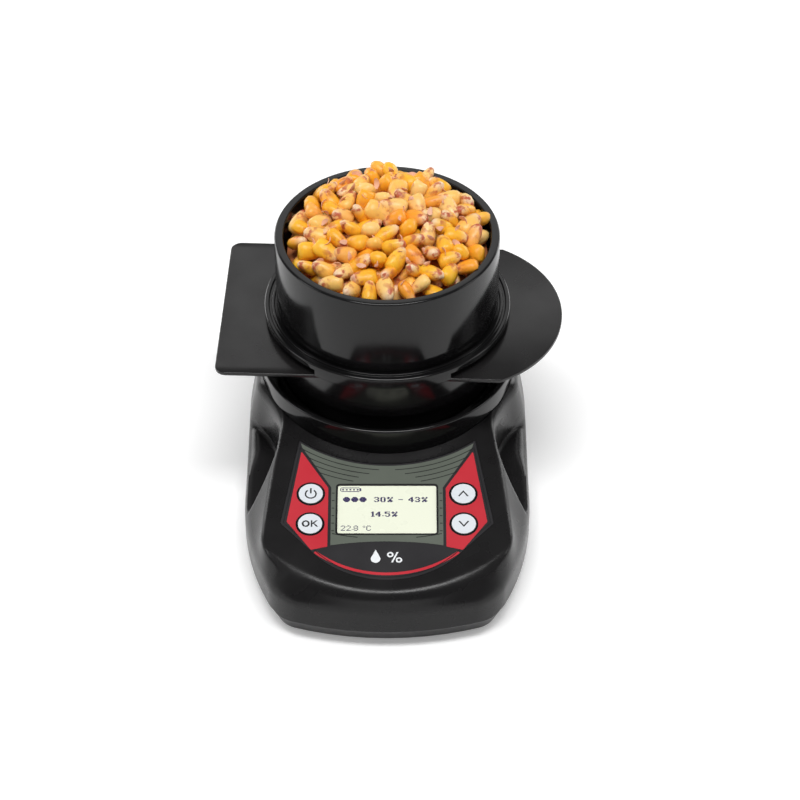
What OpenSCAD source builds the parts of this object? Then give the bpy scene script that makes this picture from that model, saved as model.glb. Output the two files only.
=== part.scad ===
// Grain moisture meter: a bench instrument with a round measuring chamber, a filling
// hopper that lifts off it, a knife plate that slides through the hopper, and a sloping
// console with a display and four keys.
//
// Origin: on the chamber axis, at the underside of the base. +Z is up, and the console
// faces -Y.

/* [Hopper] */
// Bore of the hopper tube and of its neck
hopper_bore = 92; // [76:1:112]
// Wall of the hopper tube and of its neck
hopper_wall = 4; // [3:0.5:6]
// Height of the tube above the collar
tube_h = 38; // [30:1:60]
// How far the collar stands out from the tube
collar_step = 5.5; // [4:0.5:8]
// Height of the collar above the knife slot
collar_cap = 2.7; // [2:0.1:5]
// Height of the neck, from its foot up to the slot
neck_h = 18; // [12:1:30]
// Turn of the hopper in its round seat, in degrees
hopper_turn = -2.4; // [-10:0.1:10]

/* [Knife plate] */
// Thickness of the knife plate
knife_t = 1.8; // [1.2:0.1:3]
// How far the square end stands out past the collar
knife_grip = 19; // [12:1:40]
// How far the round end stands out past the collar
knife_nose = 23.5; // [12:0.5:40]
// Radius of the round end
knife_nose_r = 53; // [52:1:70]
// Radius of the square end's corners
knife_corner_r = 5; // [2:0.5:12]
// Free height of the slot above the knife
slot_head = 3.2; // [1:0.1:5]

/* [Measuring chamber] */
// Depth of the chamber below the hopper's seat
chamber_depth = 32.5; // [26:0.5:50]
// Wall of the chamber cup
cup_wall = 2.5; // [2:0.1:4]
// Thickness of the metal sleeve that lines the chamber
sleeve_t = 1; // [0.6:0.1:2]
// Depth of the socket that centres the hopper
socket_depth = 4; // [3:0.5:8]
// Depth of the round groove above the socket
groove_depth = 7.2; // [5:0.1:12]
// Width of the round groove around the hopper
groove_w = 5.5; // [4:0.5:8]
// Radius of the centre electrode
electrode_r = 11; // [6:0.5:18]
// Height of the centre electrode above the chamber floor
electrode_h = 22; // [12:1:40]

/* [Housing] */
// Wall of the mouldings
wall = 2.5; // [2:0.1:4]
// Width of the shoulder outside the turret wall
shoulder = 6; // [4:0.5:12]
// Length of the console from its upper edge to the nose
console_len = 72; // [66:1:90]
// Slope of the console, in degrees
console_tilt = 10; // [6:1:16]
// Drop from the turret's lip to the console's upper edge
console_drop = 13.7; // [9:0.1:15]
// Height of the base tray
tray_h = 8; // [7:0.5:12]
// Height where the upright side wall ends
waist_z = 20; // [16:0.5:24]
// Radius of the finger recess in each side
recess_r = 40; // [30:1:50]
// How deep the finger recess reaches into the side
recess_depth = 15.5; // [8:0.5:18]

/* [Console parts] */
// Width of the display window
window_w = 44; // [36:1:50]
// Height of the display window
window_h = 26.8; // [20:0.2:32]
// Diameter of a key
key_d = 11.5; // [9:0.5:13]
// Distance of each key column from the middle
key_x = 33.6; // [31:0.2:36]
// Distance between the two keys in a column
key_pitch = 16.4; // [14:0.2:20]
// Press travel of a key
key_travel = 0.4; // [0.2:0.1:0.6]

/* [Battery bay] */
// Diameter of a battery cell
cell_d = 14.5; // [10.5:0.5:16]
// Length of a battery cell
cell_l = 50.5; // [44.5:0.5:52]

/* [Hidden] */

$fn = 96;
eps = 0.01;
gap = 0.3;
fit = 0.2;

// Radii, from the hopper outwards
bore_r = hopper_bore / 2;
tube_r = bore_r + hopper_wall;
collar_r = tube_r + collar_step;
spigot_r = tube_r - 1.5;
knife_half = bore_r + 0.4;
probe_x = (electrode_r + bore_r) / 2 + 0.5;
socket_r = spigot_r + gap;
cup_bore_r = bore_r + sleeve_t;
cup_r = cup_bore_r + cup_wall;
socket_outer_r = max(socket_r, cup_bore_r) + cup_wall;
groove_r = tube_r + groove_w;
lip_w = 2.5;
turret_r = groove_r + lip_w;
body_r = turret_r + shoulder;
body_w = 2 * body_r;

// Heights, from the underside up
foot_h = 1.6;
cup_z = wall + 5.5;
chamber_z = cup_z + cup_wall;
seat_z = chamber_z + chamber_depth;
groove_z = seat_z + socket_depth;
lip_z = groove_z + groove_depth;
skirt_z = groove_z - 9;
spigot_z = seat_z + gap;
neck_z = lip_z + 2.3;
slot_z = neck_z + neck_h;
knife_z = slot_z + fit;
slot_top = knife_z + knife_t + slot_head;
collar_z = slot_top + collar_cap;
rim_z = collar_z + tube_h;

// Console plane: its upper edge is an arc around the chamber axis
console_r = turret_r + 6;
console_z = lip_z - console_drop;
body_front = console_r + console_len;
nose_r = body_r + 8;
nose_corner_r = 15;
nose_arc_r = 2.1 * body_r;
flank_r = 2.15 * body_r;
flank_y = 2 - console_r;
plateau_y = 20;
plateau_z = console_z + (console_r - plateau_y) * tan(console_tilt);

// Overlay outline in the console plane, x outwards and y down the slope as negative
overlay_t = 0.4;
overlay_tip = [39.2, 13.2];
overlay_cheek = [46.7, -32.4];
overlay_jaw = 33.6;
overlay_base_y = -62.6;
overlay_base_r = 43;
overlay_depth = 0.5;
window_y = -24.8;
pane_t = 1.6;
key_y = window_y + 0.1;
key_r = key_d / 2;
key_proud = 0.3;
key_flange = 1;
keys = [
    ["key_power", -key_x, key_pitch / 2], ["key_ok", -key_x, -key_pitch / 2],
    ["key_up", key_x, key_pitch / 2], ["key_down", key_x, -key_pitch / 2]
];

// Boards under the console
board_top = -7.2;
board_t = 1.6;
board_w = 88;
flange_t = 0.6;
flange_drop = 0.9;
plunger_h = 1.2;
switch_h = -board_top - wall - flange_drop - plunger_h - key_travel - 0.1;
pillar_r = 2.6;
pillar_x = board_w / 2 - 3.5;
pillar_reach = key_pitch / 2 + key_r + key_flange + pillar_r + gap;
pillar_ys = [key_y + pillar_reach, key_y - pillar_reach];
board_y1 = pillar_ys[0] + 3;
board_y0 = pillar_ys[1] - 3;
module_w = min(window_w + 8, 2 * (key_x - key_r - key_flange - gap));

// Battery bay
row_pitch = cell_d + 1.2;
rows = [-1.5, -0.5, 0.5, 1.5];
bay_w = 4 * row_pitch + 1;
bay_l = cell_l + 4;
bay_y = -(console_r + 24);
door_t = 2.4;
door_axis_z = door_t / 2;
pin_r = 0.8;
pin_l = 1.6;
cell_z = door_t + gap + cell_d / 2;
bay_top = cell_z + cell_d / 2 + gap;
bay_skin = 1.2;
door_w = bay_w + 3;
door_d = bay_l + 3;
hinge_y = bay_y + door_d / 2 - door_axis_z;
door_front = bay_y - door_d / 2;

// Screws: [x, y] of each boss
screw_r = 1.5;
boss_r = 3.8;
head_r = 2.8;
boss_split = 10;
tray_slant = 4;
head_edge = tray_slant + head_r + 1.6;
rear_boss = body_r - head_edge;
bosses = [
    [rear_boss * cos(46), rear_boss * sin(46), skirt_z - 4],
    [-rear_boss * cos(46), rear_boss * sin(46), skirt_z - 4],
    [rear_boss, -28, waist_z - wall], [-rear_boss, -28, waist_z - wall],
    [40, -(body_front - 22.8), 22], [-40, -(body_front - 22.8), 22]
];
foot_r = 6.5;
foot_sunk = 0.8;
feet = [
    [43, -(body_front - 38)], [-43, -(body_front - 38)],
    [body_r * 0.6, body_r * 0.45], [-body_r * 0.6, body_r * 0.45]
];

// ---------------------------------------------------------------- helpers

// Ring with a given inner and outer radius, from z0 to z1
module ring(inner, outer, z0, z1) {
    translate([0, 0, z0])
        difference() {
            cylinder(r = outer, h = z1 - z0);
            translate([0, 0, -1]) cylinder(r = inner, h = z1 - z0 + 2);
        }
}

// Places its children in the console plane, with z along the console's normal
module on_console() {
    translate([0, -console_r, console_z]) rotate([console_tilt, 0, 0]) children();
}

// Everything inside one flank: straight along the back, then bending in towards the nose
module flank(side) {
    translate([side * (body_r - flank_r), flank_y]) circle(r = flank_r);
    translate([-2 * body_w, flank_y]) square(4 * body_w);
}

// Plan of the body: round at the back, flanks that bend in, and a broad blunt nose
module body_outline() {
    offset(r = nose_corner_r)
        offset(delta = -nose_corner_r)
            intersection() {
                union() {
                    circle(r = body_r);
                    translate([-body_r, -body_front]) square([body_w, body_front]);
                }
                translate([0, nose_arc_r - body_front]) circle(r = nose_arc_r);
                flank(1);
                flank(-1);
            }
}

// Plan of the ridge around the console, in the console plane
module ridge_outline() {
    hull() {
        intersection() {
            translate([0, nose_r - console_len]) circle(r = nose_r - 1);
            translate([-38, -console_len]) square([76, 40]);
        }
        for (side = [-1, 1]) translate([side * (body_r - 17.6), -33]) circle(r = 8);
        for (side = [-1, 1]) translate([side * (body_r - 12), console_r - plateau_y - 8]) circle(r = 8);
    }
}

// Solid shape of the housing, shrunk by inset on every side
module housing_solid(inset) {
    hull() {
        translate([0, 0, tray_h]) linear_extrude(waist_z - tray_h) offset(delta = -inset) body_outline();
        on_console()
            translate([0, 0, -inset - 1]) linear_extrude(1) offset(delta = -inset) ridge_outline();
        translate([0, 0, plateau_z - 1 - inset])
            intersection() {
                cylinder(r = turret_r + 1 - inset, h = 1);
                translate([-body_w, -plateau_y, -1]) cube([2 * body_w, body_w + plateau_y, 3]);
            }
    }
}

// Space of the two finger recesses, grown by the wall for the inner face
module recesses(grow) {
    for (side = [-1, 1])
        translate([side * (body_r - recess_depth + recess_r), -(console_r - 18), waist_z + 1 - grow])
            cylinder(r = recess_r + grow, h = 60);
}

// Outline of the printed overlay: two cheeks, a round lower edge and a hollow upper edge
module overlay_outline() {
    jaw_a = asin(overlay_jaw / overlay_base_r);
    lower_edge = [
        for (i = [-12:12])
            [0, overlay_base_y + overlay_base_r] - overlay_base_r * [sin(i * jaw_a / 12), cos(i * jaw_a / 12)]
    ];
    difference() {
        polygon(concat(
            [[-overlay_tip[0], overlay_tip[1]], overlay_tip, overlay_cheek],
            lower_edge,
            [[-overlay_cheek[0], overlay_cheek[1]]]
        ));
        translate([0, console_r]) circle(r = console_r);
    }
}

// Rectangle with round corners, centred on the origin
module rounded_rect(w, h, r) {
    offset(r = r) square([w - 2 * r, h - 2 * r], center = true);
}

// ---------------------------------------------------------------- housing

module upper_housing() {
    color("#1d1d1f")
        difference() {
            housing_solid(0);
            recesses(0);
            difference() {
                translate([0, 0, -eps]) housing_solid(wall);
                recesses(wall);
                for (b = bosses)
                    translate([b[0], b[1], boss_split]) cylinder(r = boss_r, h = 60);
                board_pillars();
            }
            translate([0, 0, skirt_z - 0.5]) cylinder(r = turret_r + fit, h = 100);
            for (b = bosses)
                translate([b[0], b[1], 0]) cylinder(r = screw_r, h = b[2]);
            on_console() console_cuts();
            on_console()
                for (x = [-pillar_x, pillar_x], y = pillar_ys)
                    translate([x, y, board_top - 1]) cylinder(r = 1.1, h = 5.2);
        }
}

// Recess for the overlay, opening for the display and holes for the keys
module console_cuts() {
    translate([0, 0, -overlay_depth]) linear_extrude(5) offset(delta = fit) overlay_outline();
    translate([0, window_y, -wall - 1])
        linear_extrude(wall + 2) rounded_rect(window_w + 2 * fit, window_h + 2 * fit, 1);
    for (k = keys)
        translate([k[1], key_y + k[2], -wall - 1]) cylinder(r = key_r + gap, h = wall + 2);
}

// Pillars that hold the main board under the console
module board_pillars() {
    on_console()
        for (x = [-pillar_x, pillar_x], y = pillar_ys)
            translate([x, y, board_top]) cylinder(r = pillar_r, h = 12);
}

module base_shell() {
    color("#1b1b1d")
        difference() {
            union() {
                tray();
                battery_box();
                cup_support();
                for (b = bosses)
                    translate([b[0], b[1], 0]) cylinder(r = boss_r, h = boss_split);
            }
            for (b = bosses) {
                translate([b[0], b[1], -1]) cylinder(r = screw_r + 0.2, h = boss_split + 2);
                translate([b[0], b[1], -1]) cylinder(r = head_r + 0.4, h = 4.5);
            }
            translate([-door_w / 2 - gap, door_front - gap, -1])
                cube([door_w + 2 * gap, door_d + 2 * gap, door_t + 1 + gap]);
            door_axis() cylinder(r = pin_r + 0.05, h = door_w + 2 * (pin_l + gap), center = true);
            translate([-bay_w / 2, bay_y - bay_l / 2, -1]) cube([bay_w, bay_l, bay_top + 1]);
            for (f = feet)
                translate([f[0], f[1], -1]) cylinder(r = foot_r + 0.1, h = 1 + foot_sunk);
        }
}

// Shallow tray with a slanted rim
module tray() {
    difference() {
        hull() {
            linear_extrude(1) offset(delta = -tray_slant) body_outline();
            translate([0, 0, tray_h - 1]) linear_extrude(1) offset(delta = -0.8) body_outline();
        }
        translate([0, 0, wall]) linear_extrude(tray_h) offset(delta = -tray_slant - 1.5) body_outline();
    }
}

// Ring that carries the chamber cup, with a gate for the ribbon cable
module cup_support() {
    difference() {
        ring(36, 42, wall - eps, cup_z);
        translate([-10, -50, wall]) cube([20, 20, 20]);
    }
}

// Box that takes the cells, open to the underside
module battery_box() {
    box_w = bay_w + 7;
    box_l = bay_l + 7;
    translate([-box_w / 2, bay_y - box_l / 2, eps]) cube([box_w, box_l, bay_top + bay_skin - eps]);
}

// Places its children on the axis of the battery door's hinge
module door_axis() {
    translate([0, hinge_y, door_axis_z]) rotate([0, 90, 0]) children();
}

// Door with a round rear edge that ends in two hinge pins, and a ribbed finger grip
module battery_door() {
    rib_pitch = 2;
    rib_w = 0.8;
    rib_l = 18;
    color("#232325")
        difference() {
            union() {
                translate([-door_w / 2, door_front, 0]) cube([door_w, hinge_y - door_front, door_t]);
                door_axis() cylinder(r = door_axis_z, h = door_w, center = true);
                door_axis() cylinder(r = pin_r, h = door_w + 2 * pin_l, center = true);
            }
            for (i = [0:4])
                translate([-rib_l / 2, door_front + 3 + rib_pitch * i, -1]) cube([rib_l, rib_w, 1.5]);
        }
}

module rubber_feet() {
    color("#3a3a3a")
        for (f = feet)
            translate([f[0], f[1], -foot_h]) cylinder(r = foot_r, h = foot_h + foot_sunk);
}

module case_screws() {
    color("silver")
        for (b = bosses)
            translate([b[0], b[1], 1]) {
                cylinder(r = screw_r - 0.1, h = b[2] - 3);
                difference() {
                    cylinder(r = head_r, h = 2.4);
                    translate([0, 0, -0.1]) cube([0.8, 3.6, 2.6], center = true);
                    translate([0, 0, -0.1]) cube([3.6, 0.8, 2.6], center = true);
                }
            }
}

// ---------------------------------------------------------------- measuring chamber

module measuring_chamber() {
    color("#111113")
        difference() {
            union() {
                translate([0, 0, cup_z]) cylinder(r = cup_r, h = seat_z - cup_z);
                translate([0, 0, seat_z - 2]) cylinder(r = socket_outer_r, h = socket_depth + 2);
                translate([0, 0, groove_z - 2]) cylinder(r = turret_r, h = groove_depth + 2 - 1);
                ring(groove_r, turret_r, skirt_z, groove_z);
                lip_bead();
                for (a = [45:90:315])
                    rotate(a) translate([24, 0, cup_z - 2.2]) cylinder(r = 2.6, h = 2.4);
            }
            translate([0, 0, groove_z]) cylinder(r = groove_r, h = 40);
            translate([0, 0, seat_z]) cylinder(r = socket_r, h = 40);
            translate([0, 0, chamber_z]) cylinder(r = cup_bore_r, h = 80);
            translate([0, 0, cup_z - 5]) cylinder(r = 4, h = 12);
            translate([probe_x, 0, cup_z - 5]) cylinder(r = 2.2, h = 12);
        }
}

// Rounded lip on top of the well
module lip_bead() {
    translate([0, 0, lip_z - 1])
        rotate_extrude() {
            translate([groove_r, 0]) square([lip_w, 0.5]);
            translate([groove_r + 0.5, 0]) square([lip_w - 1, 1]);
            translate([groove_r + 0.5, 0.5]) circle(r = 0.5, $fn = 32);
            translate([turret_r - 0.5, 0.5]) circle(r = 0.5, $fn = 32);
        }
}

module outer_electrode() {
    color("gainsboro") ring(bore_r, cup_bore_r, chamber_z, seat_z);
}

module centre_electrode() {
    dome = 5;
    color("gainsboro")
        translate([0, 0, chamber_z + 3]) {
            rotate_extrude() {
                square([electrode_r, electrode_h - dome]);
                square([electrode_r - dome, electrode_h]);
                translate([electrode_r - dome, electrode_h - dome]) circle(r = dome);
            }
            translate([0, 0, -10]) cylinder(r = 2, h = 10);
        }
}

module electrode_insulator() {
    color("white")
        difference() {
            union() {
                translate([0, 0, chamber_z]) cylinder(r = electrode_r + 3, h = 3);
                translate([0, 0, cup_z]) cylinder(r = 4, h = cup_wall);
            }
            translate([0, 0, cup_z - 1]) cylinder(r = 2, h = 20);
        }
}

module temperature_probe() {
    color("silver")
        translate([probe_x, 0, cup_z - 1]) {
            cylinder(r = 2.2, h = 12);
            translate([0, 0, 12]) sphere(r = 2.2);
        }
}

module sensor_board() {
    color("#1f6b3a")
        translate([0, 0, cup_z - 2.2 - board_t])
            difference() {
                cylinder(r = 32, h = board_t);
                translate([0, 0, -1]) cylinder(r = 2, h = board_t + 2);
            }
}

// ---------------------------------------------------------------- console parts

module main_board() {
    color("#1f6b3a")
        on_console() {
            difference() {
                translate([-board_w / 2, board_y0, board_top - board_t])
                    cube([board_w, board_y1 - board_y0, board_t]);
                for (x = [-pillar_x, pillar_x], y = pillar_ys)
                    translate([x, y, board_top - board_t - 1]) cylinder(r = 1.4, h = board_t + 2);
            }
            translate([-10, board_y1 - 12, board_top - board_t - 3]) cube([20, 6, 3]);
            translate([-7, board_y1 - 30, board_top - board_t - 1.4]) cube([14, 14, 1.4]);
            for (i = [0:3])
                translate([-30 + 5 * i, board_y0 + 12, board_top - board_t - 1]) cube([2.5, 5, 1]);
        }
}

module board_screws() {
    color("silver")
        on_console()
            for (x = [-pillar_x, pillar_x], y = pillar_ys)
                translate([x, y, board_top - board_t]) {
                    translate([0, 0, -1.4]) cylinder(r = 2.2, h = 1.4);
                    cylinder(r = 1, h = 4.5);
                }
}

module display_module() {
    color("#2b3a44")
        on_console()
            translate([-module_w / 2, window_y - window_h / 2 - 3, board_top])
                cube([module_w, window_h + 6, -board_top - wall - 0.4]);
}

module display_window() {
    color("#dfe6c8")
        on_console()
            translate([0, window_y, -overlay_depth - pane_t])
                linear_extrude(pane_t) rounded_rect(window_w, window_h, 1);
}

module keypad_overlay() {
    color("#9b2833")
        on_console()
            translate([0, 0, -overlay_depth])
                linear_extrude(overlay_t)
                    difference() {
                        overlay_outline();
                        translate([0, window_y]) rounded_rect(window_w - 1, window_h - 1, 1);
                        for (k = keys) translate([k[1], key_y + k[2]]) circle(r = key_r + gap);
                    }
}

// Key cap with a flange that keeps it behind the console
module key_cap(index) {
    k = keys[index];
    color("white")
        on_console()
            translate([k[1], key_y + k[2], 0]) {
                translate([0, 0, -wall - gap]) cylinder(r = key_r, h = wall + gap + key_proud);
                translate([0, 0, -wall - flange_drop]) cylinder(r = key_r + key_flange, h = flange_t);
                translate([0, 0, -wall - flange_drop - plunger_h]) cylinder(r = 1.5, h = plunger_h + flange_t);
            }
}

module key_power() { key_cap(0); }
module key_ok() { key_cap(1); }
module key_up() { key_cap(2); }
module key_down() { key_cap(3); }

module key_switches() {
    color("#c9c9c9")
        on_console()
            for (k = keys)
                translate([k[1], key_y + k[2], board_top]) {
                    translate([-3, -3, 0]) cube([6, 6, switch_h - 0.5]);
                    cylinder(r = 1.6, h = switch_h);
                }
}

module ribbon_cable() {
    ribbon_w = 16;
    board_back = console_point(board_y1 - 9, board_top - board_t - 3);
    ribbon_t = 0.5;
    low = cup_z - 2.2 - board_t - ribbon_t;
    drop_y = -(cup_r + 4);
    inner_y = -24;
    color("#8a8f96")
        translate([-ribbon_w / 2, 0, 0])
            rotate([90, 0, 90])
                linear_extrude(ribbon_w)
                    polygon([
                        board_back, [drop_y + ribbon_t, board_back[1]],
                        [drop_y + ribbon_t, low + ribbon_t], [inner_y, low + ribbon_t],
                        [inner_y, low], [drop_y, low], [drop_y, board_back[1] - ribbon_t],
                        [board_back[0], board_back[1] - ribbon_t]
                    ]);
}

// [y, z] of a point in the console plane
function console_point(v, n) = [
    -console_r + v * cos(console_tilt) - n * sin(console_tilt),
    console_z + v * sin(console_tilt) + n * cos(console_tilt)
];

// ---------------------------------------------------------------- battery bay

// Places its children on the axis of one cell, turned end for end in every second row
module battery_row(row) {
    translate([row * row_pitch, bay_y, cell_z])
        mirror([0, (row + 1.5) % 2, 0])
            rotate([90, 0, 0]) children();
}

module battery_cells() {
    nub_h = 0.8;
    color("#3f5f8f")
        for (row = rows)
            battery_row(row)
                translate([0, 0, -cell_l / 2]) {
                    cylinder(r = cell_d / 2, h = cell_l - 1);
                    translate([0, 0, cell_l - 1]) cylinder(r = 2.7, h = nub_h);
                }
}

module battery_springs() {
    turn_h = 0.75;
    color("silver")
        for (row = rows)
            battery_row(row)
                translate([0, 0, -bay_l / 2]) {
                    cylinder(r = 5.5, h = 0.4);
                    for (i = [0:1])
                        ring(3.4 - i, 4.4 - i, 0.4 + turn_h * i - eps, 0.4 + turn_h * (i + 1));
                }
}

module battery_plates() {
    color("silver")
        for (row = rows)
            battery_row(row)
                translate([0, 0, bay_l / 2 - 2]) cylinder(r = 5.5, h = 2);
}

// ---------------------------------------------------------------- hopper

module hopper_tube() {
    tube_z = knife_z + knife_t + gap;
    chamfer = 0.8;
    color("#0d0d0f")
        rotate_extrude()
            polygon([
                [bore_r, tube_z], [tube_r, tube_z], [tube_r, rim_z - chamfer],
                [tube_r - chamfer, rim_z], [bore_r + chamfer, rim_z], [bore_r, rim_z - chamfer]
            ]);
}

module slot_collar() {
    undercut = 2.2;
    color("#101012")
        rotate(hopper_turn)
            difference() {
                rotate_extrude()
                    polygon([
                        [bore_r, spigot_z], [spigot_r, spigot_z], [spigot_r, neck_z],
                        [tube_r, neck_z], [tube_r, slot_z - undercut],
                        [collar_r, slot_z + 1.7], [collar_r, collar_z - 1],
                        [collar_r - 1, collar_z], [collar_r - 2, collar_z],
                        [collar_r - 2.3, collar_z - 0.8], [collar_r - 3.3, collar_z - 0.8],
                        [collar_r - 3.6, collar_z], [collar_r - 4.6, collar_z],
                        [collar_r - 4.8, collar_z - 0.8], [tube_r + 0.05, collar_z - 0.8],
                        [tube_r + 0.05, slot_z], [bore_r, slot_z]
                    ]);
                translate([-2 * collar_r, -knife_half - gap, slot_z])
                    cube([4 * collar_r, 2 * (knife_half + gap), slot_top - slot_z]);
            }
}

module knife_plate() {
    left = collar_r + knife_grip;
    right = collar_r + knife_nose;
    color("#0b0b0c")
        rotate(hopper_turn)
            translate([0, 0, knife_z])
                linear_extrude(knife_t)
                    intersection() {
                        union() {
                            translate([right - knife_nose_r, 0]) circle(r = knife_nose_r, $fn = 180);
                            translate([-left, -knife_half]) square([left + 25, 2 * knife_half]);
                        }
                        union() {
                            translate([-left + knife_corner_r, -knife_half]) square([300, 2 * knife_half]);
                            translate([-left, knife_corner_r - knife_half])
                                square([300, 2 * (knife_half - knife_corner_r)]);
                            for (side = [-1, 1])
                                translate([knife_corner_r - left, side * (knife_half - knife_corner_r)])
                                    circle(r = knife_corner_r);
                        }
                    }
}

upper_housing();
base_shell();
battery_door();
rubber_feet();
case_screws();
measuring_chamber();
outer_electrode();
centre_electrode();
electrode_insulator();
temperature_probe();
sensor_board();
main_board();
board_screws();
display_module();
display_window();
keypad_overlay();
key_switches();
key_power();
key_ok();
key_up();
key_down();
battery_cells();
battery_springs();
battery_plates();
ribbon_cable();
hopper_tube();
slot_collar();
knife_plate();
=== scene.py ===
"""Looks of a bench grain moisture meter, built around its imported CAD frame.

Lengths are metres in the frame's axes: +Z up on the chamber axis, -Y towards the user.
Flat artwork is drawn in millimetres in the console plane and placed by CONSOLE.
"""
import logging
import math
from dataclasses import dataclass, field
from enum import Enum
from typing import Callable, Iterable, Sequence

import bmesh
import bpy
import numpy as np
from mathutils import Matrix, Vector


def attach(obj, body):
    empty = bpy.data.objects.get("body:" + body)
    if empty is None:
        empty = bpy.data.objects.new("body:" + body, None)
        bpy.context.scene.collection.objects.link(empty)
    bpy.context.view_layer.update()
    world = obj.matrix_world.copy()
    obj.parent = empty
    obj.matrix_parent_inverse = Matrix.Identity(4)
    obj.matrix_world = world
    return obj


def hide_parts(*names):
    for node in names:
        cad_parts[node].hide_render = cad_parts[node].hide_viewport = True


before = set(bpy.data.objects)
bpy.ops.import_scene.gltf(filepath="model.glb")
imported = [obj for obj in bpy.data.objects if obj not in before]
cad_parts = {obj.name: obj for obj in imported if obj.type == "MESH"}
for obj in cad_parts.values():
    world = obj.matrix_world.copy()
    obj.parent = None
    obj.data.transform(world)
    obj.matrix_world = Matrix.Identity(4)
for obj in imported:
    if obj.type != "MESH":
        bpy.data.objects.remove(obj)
LOG = logging.getLogger("moisture_meter")
MM = 0.001
TURN = 2 * math.pi

Point = tuple[float, float]
Color = tuple[float, float, float]


class Body(str, Enum):
    """Moving bodies of the frame."""

    METER = "meter_body"
    HOPPER = "hopper"
    KNIFE = "knife"
    DOOR = "battery_door"
    POWER = "key_power"
    OK = "key_ok"
    UP = "key_up"
    DOWN = "key_down"


# ------------------------------------------------------------------ finishes


@dataclass(frozen=True)
class Finish:
    """A plain surface: colour, gloss, fine grain and slow mottling.

    Attributes:
        name: Name of the material.
        color: Linear base colour.
        roughness: Middle roughness.
        metallic: 1 for bare metal.
        grain: Size of the surface grain.
        depth: Height of the grain.
        scuff: How far roughness strays from its middle value.
        mottle: Share by which the colour lightens in patches.
        stretch: Scale of the grain along X, Y and Z; unequal values draw it into lines.
        coat: Strength of a clear coat.
        glow: Strength of the light that the surface gives off.
        gloss: Strength of the reflection; 0.5 is a usual plastic.
    """

    name: str
    color: Color
    roughness: float
    metallic: float = 0.0
    grain: float = 0.4 * MM
    depth: float = 0.01 * MM
    scuff: float = 0.06
    mottle: float = 0.15
    stretch: tuple[float, float, float] = (1.0, 1.0, 1.0)
    coat: float = 0.0
    glow: float = 0.0
    gloss: float = 0.5

    def material(self) -> bpy.types.Material:
        """Returns the finish's material, made on first use.

        Returns:
            The material.
        """
        found = bpy.data.materials.get(self.name)
        if found:
            return found
        made = bpy.data.materials.new(self.name)
        made.use_nodes = True
        made.diffuse_color = (*self.color, 1.0)
        self.wire(made.node_tree)
        return made

    def wire(self, tree: bpy.types.NodeTree) -> None:
        """Builds the node tree.

        Args:
            tree: The material's own tree, with its default shader.
        """
        shader = tree.nodes["Principled BSDF"]
        shader.inputs["Metallic"].default_value = self.metallic
        shader.inputs["Specular IOR Level"].default_value = self.gloss
        shader.inputs["Coat Weight"].default_value = self.coat
        shader.inputs["Coat Roughness"].default_value = 0.08
        if self.glow:
            shader.inputs["Emission Color"].default_value = (*self.color, 1.0)
            shader.inputs["Emission Strength"].default_value = self.glow
        place = tree.nodes.new("ShaderNodeTexCoord").outputs["Object"]
        lined = tree.nodes.new("ShaderNodeMapping")
        lined.inputs["Scale"].default_value = self.stretch
        tree.links.new(place, lined.inputs["Vector"])
        fine = self.noise(tree, lined.outputs["Vector"], 1.0 / self.grain, 3.0)
        slow = self.noise(tree, place, 55.0, 4.0)
        bump = tree.nodes.new("ShaderNodeBump")
        bump.inputs["Strength"].default_value = 1.0
        bump.inputs["Distance"].default_value = self.depth
        tree.links.new(fine, bump.inputs["Height"])
        tree.links.new(bump.outputs["Normal"], shader.inputs["Normal"])
        tree.links.new(
            self.spread(tree, slow, self.roughness - self.scuff, self.roughness + self.scuff),
            shader.inputs["Roughness"],
        )
        tint = tree.nodes.new("ShaderNodeMix")
        tint.data_type = "RGBA"
        tint.inputs["A"].default_value = (*self.color, 1.0)
        tint.inputs["B"].default_value = (
            *(min(1.0, c * (1 + self.mottle) + 0.02 * self.mottle) for c in self.color),
            1.0,
        )
        tree.links.new(slow, tint.inputs["Factor"])
        tree.links.new(tint.outputs["Result"], shader.inputs["Base Color"])

    @staticmethod
    def noise(
        tree: bpy.types.NodeTree, vector: bpy.types.NodeSocket, scale: float, detail: float
    ) -> bpy.types.NodeSocket:
        """Adds a noise pattern.

        Args:
            tree: The tree that gets the node.
            vector: Where the pattern takes its place from.
            scale: Waves in a metre.
            detail: Octaves.

        Returns:
            The pattern's factor.
        """
        node = tree.nodes.new("ShaderNodeTexNoise")
        node.inputs["Scale"].default_value = scale
        node.inputs["Detail"].default_value = detail
        tree.links.new(vector, node.inputs["Vector"])
        return node.outputs["Fac"]

    @staticmethod
    def spread(
        tree: bpy.types.NodeTree, value: bpy.types.NodeSocket, low: float, high: float
    ) -> bpy.types.NodeSocket:
        """Maps the middle of a noise pattern to a range.

        Args:
            tree: The tree that gets the node.
            value: A factor from 0 to 1.
            low: Result where the factor is 0.3.
            high: Result where the factor is 0.7.

        Returns:
            The mapped value.
        """
        node = tree.nodes.new("ShaderNodeMapRange")
        for name, number in (("From Min", 0.3), ("From Max", 0.7), ("To Min", low), ("To Max", high)):
            node.inputs[name].default_value = number
        tree.links.new(value, node.inputs["Value"])
        return node.outputs["Result"]


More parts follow.
